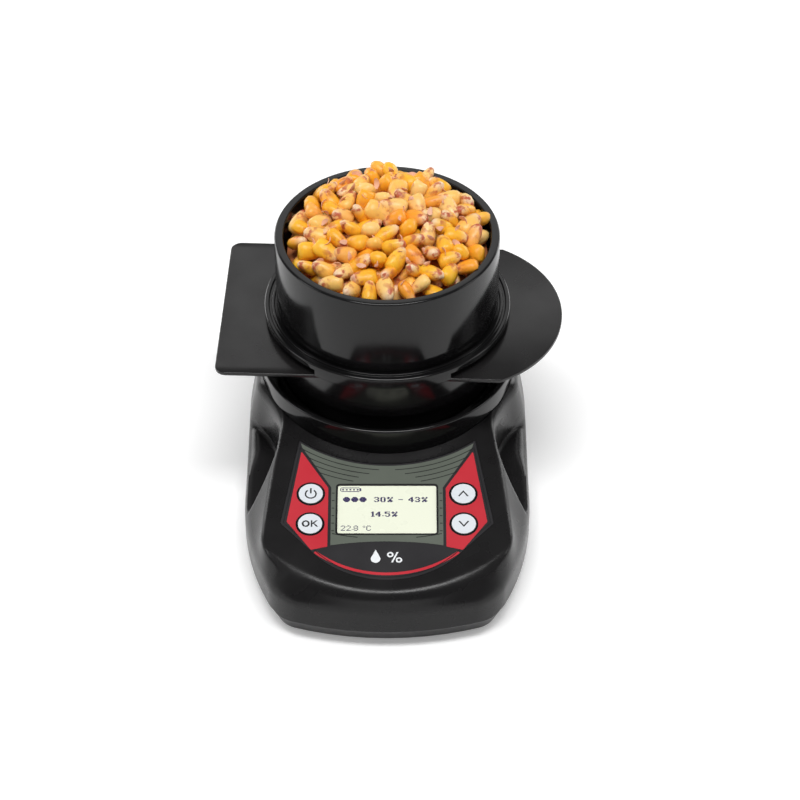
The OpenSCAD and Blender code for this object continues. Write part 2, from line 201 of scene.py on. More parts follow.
@dataclass(frozen=True)
class KernelFinish(Finish):
    """Skin of a maize kernel: its colour runs from crown to tip and differs between kernels."""

    crown: tuple[Color, ...] = (
        (0.93, 0.40, 0.015), (0.95, 0.52, 0.03), (0.91, 0.34, 0.02), (0.95, 0.64, 0.22), (0.93, 0.47, 0.05),
    )
    tip: Color = (0.84, 0.60, 0.38)
    blush: Color = (0.50, 0.11, 0.045)

    def wire(self, tree: bpy.types.NodeTree) -> None:
        """Builds the node tree.

        Args:
            tree: The material's own tree, with its default shader.
        """
        shader = tree.nodes["Principled BSDF"]
        shader.inputs["Subsurface Weight"].default_value = 0.12
        shader.inputs["Subsurface Radius"].default_value = (0.004, 0.002, 0.001)
        shader.inputs["Roughness"].default_value = self.roughness
        place = tree.nodes.new("ShaderNodeTexCoord").outputs["Object"]
        shade = self.attribute(tree, "shade")
        along = self.attribute(tree, "tipward")
        ramp = tree.nodes.new("ShaderNodeValToRGB")
        ramp.color_ramp.elements[0].position = 0.0
        ramp.color_ramp.elements[0].color = (*self.crown[0], 1.0)
        ramp.color_ramp.elements[1].position = 1.0
        ramp.color_ramp.elements[1].color = (*self.crown[-1], 1.0)
        for i, color in enumerate(self.crown[1:-1], 1):
            stop = ramp.color_ramp.elements.new(i / (len(self.crown) - 1))
            stop.color = (*color, 1.0)
        tree.links.new(shade, ramp.inputs["Fac"])
        pale = self.blend(tree, ramp.outputs["Color"], self.tip, self.window(tree, along, 0.55, 0.95))
        patch = self.noise(tree, place, 330.0, 3.0)
        reach = tree.nodes.new("ShaderNodeMath")
        reach.operation = "MULTIPLY"
        tree.links.new(self.window(tree, along, 0.35, 0.75), reach.inputs[0])
        tree.links.new(self.window(tree, patch, 0.47, 0.62), reach.inputs[1])
        tree.links.new(
            self.blend(tree, pale, self.blush, reach.outputs[0]), shader.inputs["Base Color"]
        )
        bump = tree.nodes.new("ShaderNodeBump")
        bump.inputs["Distance"].default_value = self.depth
        tree.links.new(self.noise(tree, place, 1.0 / self.grain, 4.0), bump.inputs["Height"])
        tree.links.new(bump.outputs["Normal"], shader.inputs["Normal"])

    @staticmethod
    def attribute(tree: bpy.types.NodeTree, name: str) -> bpy.types.NodeSocket:
        """Returns the factor of a named mesh attribute.

        Args:
            tree: The tree that gets the node.
            name: The attribute's name.

        Returns:
            The factor.
        """
        node = tree.nodes.new("ShaderNodeAttribute")
        node.attribute_name = name
        return node.outputs["Fac"]

    @staticmethod
    def window(
        tree: bpy.types.NodeTree, value: bpy.types.NodeSocket, low: float, high: float
    ) -> bpy.types.NodeSocket:
        """Returns a smooth step from 0 at low to 1 at high.

        Args:
            tree: The tree that gets the node.
            value: A factor.
            low: Value where the step starts.
            high: Value where it ends.

        Returns:
            The step.
        """
        node = tree.nodes.new("ShaderNodeMapRange")
        node.interpolation_type = "SMOOTHSTEP"
        node.inputs["From Min"].default_value = low
        node.inputs["From Max"].default_value = high
        tree.links.new(value, node.inputs["Value"])
        return node.outputs["Result"]

    @staticmethod
    def blend(
        tree: bpy.types.NodeTree, base: bpy.types.NodeSocket, over: Color, share: bpy.types.NodeSocket
    ) -> bpy.types.NodeSocket:
        """Lays a colour over a base by a share, and returns the result.

        Args:
            tree: The tree that gets the node.
            base: The colour below.
            over: The colour laid over it.
            share: How much of it shows.

        Returns:
            The mixed colour.
        """
        node = tree.nodes.new("ShaderNodeMix")
        node.data_type = "RGBA"
        node.inputs["B"].default_value = (*over, 1.0)
        tree.links.new(base, node.inputs["A"])
        tree.links.new(share, node.inputs["Factor"])
        return node.outputs["Result"]


def printed(name: str, color: Color, roughness: float, gloss: float = 0.35) -> Finish:
    """Finish of one colour of printed film.

    Args:
        name: Name of the material.
        color: Linear base colour.
        roughness: Middle roughness.
        gloss: Strength of the reflection.

    Returns:
        The finish.
    """
    return Finish(name, color, roughness, grain=0.25 * MM, depth=0.004 * MM, gloss=gloss)


HOUSING = Finish(
    "moulded_black", (0.0072, 0.0068, 0.0072), 0.28, grain=0.35 * MM, depth=0.02 * MM, scuff=0.04, gloss=0.27
)
BASE = Finish(
    "moulded_base_black", (0.008, 0.0078, 0.0082), 0.36, grain=0.35 * MM, depth=0.02 * MM, gloss=0.3
)
TURNED = Finish(
    "turned_black", (0.0035, 0.0034, 0.0037), 0.14, grain=0.5 * MM, depth=0.0012 * MM, scuff=0.03,
    stretch=(0.02, 0.02, 1.0), gloss=0.34,
)
BLADE = Finish(
    "blade_black", (0.0075, 0.0070, 0.0072), 0.24, grain=0.9 * MM, depth=0.003 * MM, scuff=0.05, gloss=0.42
)
FILM_CHARCOAL = printed("film_charcoal", (0.016, 0.015, 0.017), 0.42)
FILM_SAGE = printed("film_sage", (0.105, 0.120, 0.098), 0.42)
FILM_RED = printed("film_red", (0.52, 0.022, 0.036), 0.4)
FILM_BLACK = printed("film_black", (0.004, 0.004, 0.005), 0.4)
FILM_WHITE = printed("film_white", (0.80, 0.82, 0.84), 0.4, gloss=0.5)
KEY_WHITE = Finish("key_white", (0.70, 0.715, 0.71), 0.38, grain=0.25 * MM, depth=0.004 * MM, mottle=0.05)
SCREEN = Finish(
    "screen_pale", (0.80, 0.83, 0.68), 0.3, grain=0.3 * MM, depth=0.001 * MM, mottle=0.04, glow=0.12
)
PIXEL = Finish("pixel_ink", (0.02, 0.01, 0.085), 0.5, grain=0.2 * MM, depth=0.001 * MM)
RUBBER = Finish("foot_rubber", (0.02, 0.02, 0.02), 0.75, grain=0.3 * MM, depth=0.03 * MM)
STEEL = Finish("zinc_steel", (0.55, 0.55, 0.56), 0.3, metallic=1.0, grain=0.2 * MM, depth=0.002 * MM)
ALLOY = Finish(
    "turned_alloy", (0.78, 0.78, 0.79), 0.22, metallic=1.0, grain=0.25 * MM, depth=0.004 * MM,
    stretch=(0.05, 0.05, 1.0),
)
INSULATOR = Finish("insulator_white", (0.82, 0.81, 0.76), 0.35, grain=0.4 * MM, depth=0.003 * MM)
BOARD = Finish("board_green", (0.012, 0.12, 0.04), 0.35, grain=0.8 * MM, depth=0.004 * MM, coat=0.3)
CELL = Finish("cell_jacket", (0.03, 0.09, 0.26), 0.3, metallic=0.4, grain=0.5 * MM, depth=0.002 * MM)
RIBBON = Finish(
    "ribbon_grey", (0.30, 0.31, 0.33), 0.5, grain=1.2 * MM, depth=0.08 * MM, stretch=(1.0, 0.02, 0.02)
)
MODULE = Finish("display_body", (0.25, 0.27, 0.22), 0.45, grain=0.6 * MM, depth=0.004 * MM)
MAIZE = KernelFinish("maize_skin", (0.9, 0.42, 0.05), 0.36, grain=0.9 * MM, depth=0.12 * MM)
CHAFF = Finish("chaff_pale", (0.66, 0.36, 0.24), 0.6, grain=0.5 * MM, depth=0.05 * MM, mottle=0.5)
# Grain below the heap: the kernel orange darkened as painted shade, which shows in the gaps between kernels.
GRAIN_BED_SHADE = Finish("grain_dust", (0.40, 0.13, 0.04), 0.8, grain=1.5 * MM, depth=0.6 * MM, mottle=0.6)


# ------------------------------------------------------------------ mesh helpers


def console_matrix(edge_y: float, edge_z: float, tilt: float) -> Matrix:
    """Matrix from millimetres in the console plane to metres in the frame.

    Args:
        edge_y: Y of the plane's upper edge.
        edge_z: Z of the plane's upper edge.
        tilt: Slope of the plane, in radians.

    Returns:
        The matrix.
    """
    return (
        Matrix.Translation((0, edge_y, edge_z)) @ Matrix.Rotation(tilt, 4, "X") @ Matrix.Scale(MM, 4)
    )


CONSOLE_Y = -64.0
CONSOLE_Z = 40.5
CONSOLE_TILT = math.radians(10)
CONSOLE = console_matrix(CONSOLE_Y * MM, CONSOLE_Z * MM, CONSOLE_TILT)
UPRIGHT = Matrix.Scale(MM, 4)
HOPPER_TURN = math.radians(-2.4)


def placed(name: str, data: bpy.types.ID) -> bpy.types.Object:
    """Makes an object and puts it in the scene.

    Args:
        name: Name of the object.
        data: Its mesh, curve, light or camera.

    Returns:
        The object, at the origin.
    """
    made = bpy.data.objects.new(name, data)
    bpy.context.scene.collection.objects.link(made)
    return made


def solid(
    name: str, verts: Sequence[Sequence[float]], faces: Sequence[Sequence[int]], finish: Finish,
    sharp: float = 32.0,
) -> bpy.types.Object:
    """Makes an object of smooth-shaded faces with sharp edges where they turn hard.

    Args:
        name: Name of the piece.
        verts: Points in the frame.
        faces: Corner numbers of each face.
        finish: What the piece is dressed in.
        sharp: Angle between faces, in degrees, from which an edge is sharp.

    Returns:
        The object, at the origin.
    """
    mesh = bpy.data.meshes.new(name)
    mesh.from_pydata([tuple(v) for v in verts], [], [tuple(f) for f in faces])
    mesh.update()
    made = placed(name, mesh)
    dress(made, finish)
    shade(made, sharp)
    return made


def dress(piece: bpy.types.Object, finish: Finish) -> None:
    """Gives the whole piece one finish."""
    piece.data.materials.clear()
    piece.data.materials.append(finish.material())


def shade(piece: bpy.types.Object, sharp: float) -> None:
    """Shades a piece smooth, with edges sharp from an angle in degrees."""
    piece.data.polygons.foreach_set("use_smooth", [True] * len(piece.data.polygons))
    piece.data.set_sharp_from_angle(angle=math.radians(sharp))


def baked(piece: bpy.types.Object) -> bpy.types.Object:
    """Replaces a piece's mesh by its evaluated one and drops its modifiers.

    Args:
        piece: The object to bake.

    Returns:
        The same object.
    """
    graph = bpy.context.evaluated_depsgraph_get()
    mesh = bpy.data.meshes.new_from_object(piece.evaluated_get(graph), depsgraph=graph)
    piece.modifiers.clear()
    old, piece.data = piece.data, mesh
    bpy.data.meshes.remove(old)
    mesh.name = piece.name
    return piece


def cut(
    piece: bpy.types.Object, cutters: Iterable[bpy.types.Object], how: str = "DIFFERENCE"
) -> bpy.types.Object:
    """Cuts solids out of a piece, or joins them to it.

    Args:
        piece: The piece to cut.
        cutters: Closed solids; they are used up.
        how: DIFFERENCE or UNION.

    Returns:
        The piece.
    """
    tools = list(cutters)
    for tool in tools:
        step = piece.modifiers.new("cut", "BOOLEAN")
        step.operation = how
        step.solver = "EXACT"
        step.object = tool
    baked(piece)
    for tool in tools:
        bpy.data.objects.remove(tool)
    return piece


def slab(
    name: str, loops: Sequence[Sequence[Point]], low: float, high: float, finish: Finish,
    place: Matrix = CONSOLE, edge: float = 0.0,
) -> bpy.types.Object:
    """Makes a flat plate from outlines; an outline inside another is a hole.

    Args:
        name: Name of the piece.
        loops: Closed outlines in the plate's own plane.
        low: Height of the underside.
        high: Height of the top.
        finish: What the plate is dressed in.
        place: Matrix from the plate's units to the frame.
        edge: Radius of the rounded edges.

    Returns:
        The object, at the origin.
    """
    curve = bpy.data.curves.new(name, "CURVE")
    curve.dimensions = "2D"
    curve.fill_mode = "BOTH"
    curve.extrude = (high - low) / 2 - edge
    curve.bevel_depth = edge
    curve.bevel_resolution = 2
    curve.offset = -edge
    for loop in loops:
        spline = curve.splines.new("POLY")
        spline.points.add(len(loop) - 1)
        for point, (x, y) in zip(spline.points, loop):
            point.co = (x, y, 0, 1)
        spline.use_cyclic_u = True
    drawn = placed(name + "_line", curve)
    graph = bpy.context.evaluated_depsgraph_get()
    mesh = bpy.data.meshes.new_from_object(drawn.evaluated_get(graph), depsgraph=graph)
    bpy.data.objects.remove(drawn)
    mesh.transform(place @ Matrix.Translation((0, 0, (low + high) / 2)))
    mesh.name = name
    made = placed(name, mesh)
    weld(made)
    dress(made, finish)
    shade(made, 32.0)
    return made


def weld(piece: bpy.types.Object) -> None:
    """Merges doubled points of a piece and turns its faces outwards.

    Args:
        piece: The piece to clean.
    """
    work = bmesh.new()
    work.from_mesh(piece.data)
    bmesh.ops.remove_doubles(work, verts=work.verts, dist=2e-7)
    bmesh.ops.recalc_face_normals(work, faces=work.faces)
    work.to_mesh(piece.data)
    work.free()


def arc(centre: Point, radius: float, start: float, end: float, steps: int = 32) -> list[Point]:
    """Points on an arc.

    Args:
        centre: Middle of the arc.
        radius: Its radius.
        start: Start angle in degrees, counter-clockwise from +X.
        end: End angle in degrees.
        steps: Number of chords.

    Returns:
        steps + 1 points.
    """
    return [
        (
            centre[0] + radius * math.cos(math.radians(start + (end - start) * i / steps)),
            centre[1] + radius * math.sin(math.radians(start + (end - start) * i / steps)),
        )
        for i in range(steps + 1)
    ]


def circle(centre: Point, radius: float, points: int = 48) -> list[Point]:
    """Closed outline of a circle."""
    return arc(centre, radius, 0, 360 - 360 / points, points - 1)


def band(centre: Point, inner: float, outer: float, start: float, end: float) -> list[Point]:
    """Closed outline of a strip between two arcs about one centre."""
    return arc(centre, outer, start, end) + arc(centre, inner, end, start)


def rounded(points: Sequence[Point], radii: Sequence[float], steps: int = 5) -> list[Point]:
    """Rounds the corners of a closed outline.

    Args:
        points: Corners in order.
        radii: Radius at each corner; 0 keeps it sharp.
        steps: Chords in each rounded corner.

    Returns:
        The outline with its corners replaced by arcs.
    """
    out: list[Point] = []
    count = len(points)
    for i, radius in enumerate(radii):
        here = Vector(points[i])
        back = Vector(points[i - 1]) - here
        ahead = Vector(points[(i + 1) % count]) - here
        half = back.angle(ahead) / 2 if radius else 0.0
        if not radius or half < 1e-3 or abs(half - math.pi / 2) < 1e-3:
            out.append(tuple(here))
            continue
        run = min(radius / math.tan(half), 0.49 * back.length, 0.49 * ahead.length)
        first, last = here + back.normalized() * run, here + ahead.normalized() * run
        for k in range(steps + 1):
            t = k / steps
            out.append(tuple(first * (1 - t) ** 2 + here * 2 * t * (1 - t) + last * t * t))
    return out


def lathe(
    name: str, profile: Sequence[Point], finish: Finish, segments: int = 192,
    place: Matrix = UPRIGHT,
) -> bpy.types.Object:
    """Turns a closed profile of (radius, height) about the Z axis.

    Args:
        name: Name of the piece.
        profile: Corners of the section in millimetres; radius 0 closes it on the axis.
        finish: What the piece is dressed in.
        segments: Steps around the axis.
        place: Matrix from the profile's units to the frame.

    Returns:
        The object.
    """
    angles = [TURN * i / segments for i in range(segments)]
    verts = [(r * math.cos(a), r * math.sin(a), z) for a in angles for r, z in profile]
    n = len(profile)
    faces = [
        (i * n + k, ((i + 1) % segments) * n + k, ((i + 1) % segments) * n + (k + 1) % n, i * n + (k + 1) % n)
        for i in range(segments)
        for k in range(n)
    ]
    made = solid(name, verts, faces, finish)
    weld(made)
    made.data.transform(place)
    shade(made, 40.0)
    return made


def mount(piece: bpy.types.Object, body: Body, slot: str, *nodes: str) -> bpy.types.Object:
    """Fixes a finished piece to its body and hides the CAD nodes that it replaces.

    Args:
        piece: The finished piece.
        body: Body that it moves with.
        slot: Material slot that it takes its finish from; not used.
        nodes: CAD nodes that it replaces.

    Returns:
        The piece.
    """
    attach(piece, body.value)
    if nodes:
        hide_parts(*nodes)
    LOG.info("%s on %s: %d faces", piece.name, body.value, len(piece.data.polygons))
    return piece


# ------------------------------------------------------------------ housing


def round_and(a: np.ndarray, b: np.ndarray, radius: float | np.ndarray) -> np.ndarray:
    """Joins two distance fields into their common part, with a rounded edge.

    Args:
        a: First field, negative inside.
        b: Second field, negative inside.
        radius: Radius of the edge.

    Returns:
        The joint field.
    """
    u, v = np.maximum(a + radius, 0), np.maximum(b + radius, 0)
    return np.minimum(np.maximum(a, b), -radius) + np.hypot(u, v)


@dataclass
class Housing:
    """Upper moulding: a field of distances in millimetres, turned into a skin of small faces."""

    body_r: float = 64.0
    nose_front: float = -136.0
    nose_arc_r: float = 134.4
    nose_corner_r: float = 6.2
    flank_r: float = 137.6
    flank_y: float = -62.0
    ridge_r: float = 71.0
    ridge_top: Point = (48.0, -43.0)
    ridge_corner: Point = (54.4, -99.0)
    plateau_r: float = 59.0
    plateau_z: float = 48.26
    edge_y: float = CONSOLE_Y
    edge_z: float = CONSOLE_Z
    tilt: float = CONSOLE_TILT
    seam_z: float = 8.0
    waist_z: float = 20.0
    waist_bend: float = 0.24
    recess_r: float = 40.0
    recess_at: Point = (88.5, -46.0)
    recess_z: float = 21.0
    well_r: float = 58.2
    well_z: float = 37.5
    wall: float = 2.5
    step: float = 1.0
    top_soft: float = 1.2
    ridge_fade: float = 26.0
    ridge_corner_r: float = 5.0
    edge_r: float = 1.8
    shoulder_extra_r: float = 4.0
    nose_extra_r: float = 1.4
    recess_floor_r: float = 1.6
    opening_gap: float = 0.2
    opening_low: float = -6.0
    opening_high: float = 1.0

    def top(self, y: np.ndarray) -> np.ndarray:
        """Height of the console and of the shoulder behind it, at each y.

        Args:
            y: Places along the body.

        Returns:
            The heights.
        """
        slope = self.edge_z + (y - self.edge_y) * math.tan(self.tilt)
        soft = self.top_soft
        return -np.logaddexp(-slope / soft, -self.plateau_z / soft) * soft

    def plan(self, x: np.ndarray, y: np.ndarray) -> np.ndarray:
        """Distance from the body's outline in plan.

        Args:
            x: Places across the body.
            y: Places along it.

        Returns:
            Distances, negative inside.
        """
        bent = np.hypot(np.abs(x) + self.flank_r - self.body_r, np.minimum(y - self.flank_y, 0))
        side = np.where(y < 0, bent - self.flank_r, np.hypot(x, y) - self.body_r)
        nose = np.hypot(x, y - self.nose_front - self.nose_arc_r) - self.nose_arc_r
        return round_and(side, nose, self.nose_corner_r)

    def ridge(self, x: np.ndarray, y: np.ndarray) -> np.ndarray:
        """Distance from the top outline in plan: console ridge ahead, shoulder behind.

        Args:
            x: Places across the body.
            y: Places along it.

        Returns:
            Distances, negative inside.
        """
        lean = (self.ridge_corner[0] - self.ridge_top[0]) / (self.ridge_top[1] - self.ridge_corner[1])
        cheek = self.ridge_top[0] + (self.ridge_top[1] - y) * lean
        t = np.clip((y - self.ridge_top[1]) / self.ridge_fade, 0, 1)
        width = cheek + (self.plateau_r - cheek) * t * t * (3 - 2 * t)
        side = np.where(y < 0, np.abs(x) - width, np.hypot(x, y) - self.plateau_r)
        ahead = y - self.edge_y
        nose = np.where(ahead < 0, np.hypot(x, ahead / math.cos(self.tilt)), np.abs(x)) - self.ridge_r
        return round_and(side, nose, self.ridge_corner_r)

    def body(self, p: np.ndarray) -> np.ndarray:
        """Distance from the whole moulding without its recesses and its well.

        Args:
            p: Points, in millimetres.

        Returns:
            Distances, negative inside.
        """
        x, y, z = p[..., 0], p[..., 1], p[..., 2]
        top = self.top(y)
        low, high = self.plan(x, y), self.ridge(x, y)
        rise = np.maximum(top - self.waist_z, 4.0)
        t = (z - self.waist_z) / rise
        bend = self.waist_bend
        t = np.where(t < bend, np.maximum(t + bend, 0) ** 2 / (4 * bend), t)
        side = (low * (1 - t) + high * t) / np.sqrt(1 + ((high - low) / rise) ** 2)
        lid = (z - top) * math.cos(self.tilt)
        soft = np.clip((y - self.ridge_top[1]) / 22.0, 0, 1)
        front = np.clip((-110.0 - y) / 16.0, 0, 1)
        edge = self.edge_r + self.shoulder_extra_r * soft + self.nose_extra_r * front
        return round_and(side, lid, edge)

    def recess(self, p: np.ndarray) -> np.ndarray:
        """Distance from the two finger recesses, negative in them.

        Args:
            p: Points, in millimetres.

        Returns:
            Distances, negative in the recesses.
        """
        x, y, z = np.abs(p[..., 0]), p[..., 1], p[..., 2]
        wall = np.hypot(x - self.recess_at[0], y - self.recess_at[1]) - self.recess_r
        return round_and(wall, self.recess_z - z, self.recess_floor_r)

    def outer(self, p: np.ndarray) -> np.ndarray:
        """Distance from the outer skin; the recess edge is crisp ahead and soft behind.

        Args:
            p: Points, in millimetres.

        Returns:
            Distances, negative inside.
        """
        y = p[..., 1]
        soft = np.clip((y - self.recess_at[1] + 6.0) / 22.0, 0, 1)
        return round_and(self.body(p), -self.recess(p), 0.7 + 3.6 * soft * soft * (3 - 2 * soft))

    def shell(self, p: np.ndarray) -> np.ndarray:
        """Distance from the moulding's material, which is open below its lower edge.

        Args:
            p: Points, in millimetres.

        Returns:
            Distances, negative in the wall.
        """
        outer = self.outer(p)
        return np.maximum(np.maximum(outer, -(outer + self.wall)), self.seam_z - 3 - p[..., 2])

    def skin(self) -> tuple[np.ndarray, np.ndarray]:
        """Turns the shell's field into points, in millimetres, and four-cornered faces.

        Returns:
            The points and the faces.
        """
        low = np.array([-self.body_r - 3, self.nose_front - 3, self.seam_z - 5])
        high = np.array([self.body_r + 3, self.body_r + 3, self.plateau_z + 3])
        points, faces = net(self.shell, low, high, self.step)
        return settle(self.shell, points, 0.45 * self.step), faces

    def build(self) -> bpy.types.Object:
        """Returns the housing with its openings cut and its finish on."""
        points, faces = self.skin()
        piece = solid("housing_skin", points * MM, faces, HOUSING)
        overlay = Overlay()
        width, height = (side + 2 * self.opening_gap for side in Display().size)
        window = box_loop(width, height, 1.2, overlay.window_y)
        well = [(0, self.well_z), (self.well_r, self.well_z), (self.well_r, 90), (0, 90)]
        below = [(-200, -200), (200, -200), (200, 200), (-200, 200)]
        cutters = [
            lathe("cut_well", well, HOUSING, 256),
            slab("cut_below", [below], self.seam_z - 20, self.seam_z, HOUSING, UPRIGHT),
            slab("cut_overlay", [overlay.outline(self.opening_gap)], overlay.under, 6.0, HOUSING),
            slab("cut_window", [window], self.opening_low, self.opening_high, HOUSING),
        ]
        cutters += [
            slab("cut_key", [hole], self.opening_low, self.opening_high, HOUSING)
            for hole in overlay.holes()
        ]
        cut(piece, cutters)
        shade(piece, 38.0)
        return mount(piece, Body.METER, "housing_black", "upper_housing")


def net(
    shape: Callable[[np.ndarray], np.ndarray], low: np.ndarray, high: np.ndarray, step: float
) -> tuple[np.ndarray, np.ndarray]:
    """Lays a net of four-cornered faces over the surface where a field is 0.

    Args:
        shape: The field, negative inside, for an array of points.
        low: Lowest corner of the grid.
        high: Highest corner.
        step: Size of a grid cell.

    Returns:
        Points, and faces that point outwards.
    """
    axes = [np.arange(a, b + step, step) for a, b in zip(low, high)]
    values = shape(np.stack(np.meshgrid(*axes, indexing="ij"), axis=-1))
    cells = tuple(n - 1 for n in values.shape)
    total, count = np.zeros((*cells, 3)), np.zeros(cells)
    quads = []
    for axis in range(3):
        others = [b for b in range(3) if b != axis]
        run = np.moveaxis(values, axis, 0)
        near, far = run[:-1], run[1:]
        crossing = (near < 0) != (far < 0)
        at = np.argwhere(crossing)
        share = near[crossing] / (near[crossing] - far[crossing])
        hit = np.empty((len(at), 3))
        hit[:, axis], hit[:, others[0]], hit[:, others[1]] = at[:, 0] + share, at[:, 1], at[:, 2]
        ring = []
        for du, dv in ((-1, -1), (0, -1), (0, 0), (-1, 0)):
            cell = np.empty_like(at)
            cell[:, axis], cell[:, others[0]], cell[:, others[1]] = at[:, 0], at[:, 1] + du, at[:, 2] + dv
            np.add.at(total, tuple(cell.T), hit)
            np.add.at(count, tuple(cell.T), 1)
            ring.append(np.ravel_multi_index(tuple(cell.T), cells))
        quad = np.stack(ring, axis=1)
        turned = (near[crossing] < 0) == (axis == 1)
        quad[turned] = quad[turned, ::-1]
        quads.append(quad)
    used, faces = np.unique(np.concatenate(quads), return_inverse=True)
    middle = total.reshape(-1, 3)[used] / count.reshape(-1)[used, None]
    return low + middle * step, faces.reshape(-1, 4)


def settle(
    shape: Callable[[np.ndarray], np.ndarray], points: np.ndarray, reach: float
) -> np.ndarray:
    """Moves points onto the surface where a field is 0.

    Args:
        shape: The field.
        points: Points near the surface.
        reach: How far a point may move in one pass.

    Returns:
        The moved points.
    """
    small = 0.02
    for _ in range(4):
        here = shape(points)
        slope = np.stack(
            [(shape(points + small * e) - shape(points - small * e)) / (2 * small) for e in np.eye(3)],
            axis=-1,
        )
        length = np.maximum((slope**2).sum(-1), 0.25)
        move = here[:, None] * slope / length[:, None]
        size = np.maximum(np.linalg.norm(move, axis=1, keepdims=True), 1e-9)
        points = points - move * np.minimum(1.0, reach / size)
    return points


# ------------------------------------------------------------------ console artwork


def box_loop(width: float, height: float, radius: float, y: float, x: float = 0.0) -> list[Point]:
    """Closed outline of a rectangle with round corners, about (x, y)."""
    w, h = width / 2, height / 2
    return rounded([(x - w, y - h), (x + w, y - h), (x + w, y + h), (x - w, y + h)], [radius] * 4)


def grown(loop: Sequence[Point], by: float) -> list[Point]:
    """Moves a counter-clockwise outline outwards by a distance, or inwards if it is negative.

    Args:
        loop: The closed outline.
        by: The distance.

    Returns:
        The moved outline.
    """
    out = []
    count = len(loop)
    for i in range(count):
        a, b, c = Vector(loop[i - 1]), Vector(loop[i]), Vector(loop[(i + 1) % count])
        first, second = (b - a).normalized(), (c - b).normalized()
        n = Vector((first.y + second.y, -first.x - second.x))
        n = n / max(n.length_squared / 2, 0.3)
        out.append((b.x + n.x * by, b.y + n.y * by))
    return out


def stroke(line: Sequence[Point], width: float) -> list[Point]:
    """Turns an open line into the closed outline of a strip.

    Args:
        line: Points of the line.
        width: Width of the strip.

    Returns:
        The outline.
    """
    sides: tuple[list[Point], list[Point]] = ([], [])
    for i, (x, y) in enumerate(line):
        before, after = line[max(i - 1, 0)], line[min(i + 1, len(line) - 1)]
        way = Vector((after[0] - before[0], after[1] - before[1])).normalized() * width / 2
        sides[0].append((x + way.y, y - way.x))
        sides[1].append((x - way.y, y + way.x))
    return sides[0] + sides[1][::-1]


def mirrored(loop: Sequence[Point]) -> list[Point]:
    """Mirrors a closed outline from right to left, and keeps its direction."""
    return [(-x, y) for x, y in reversed(loop)]


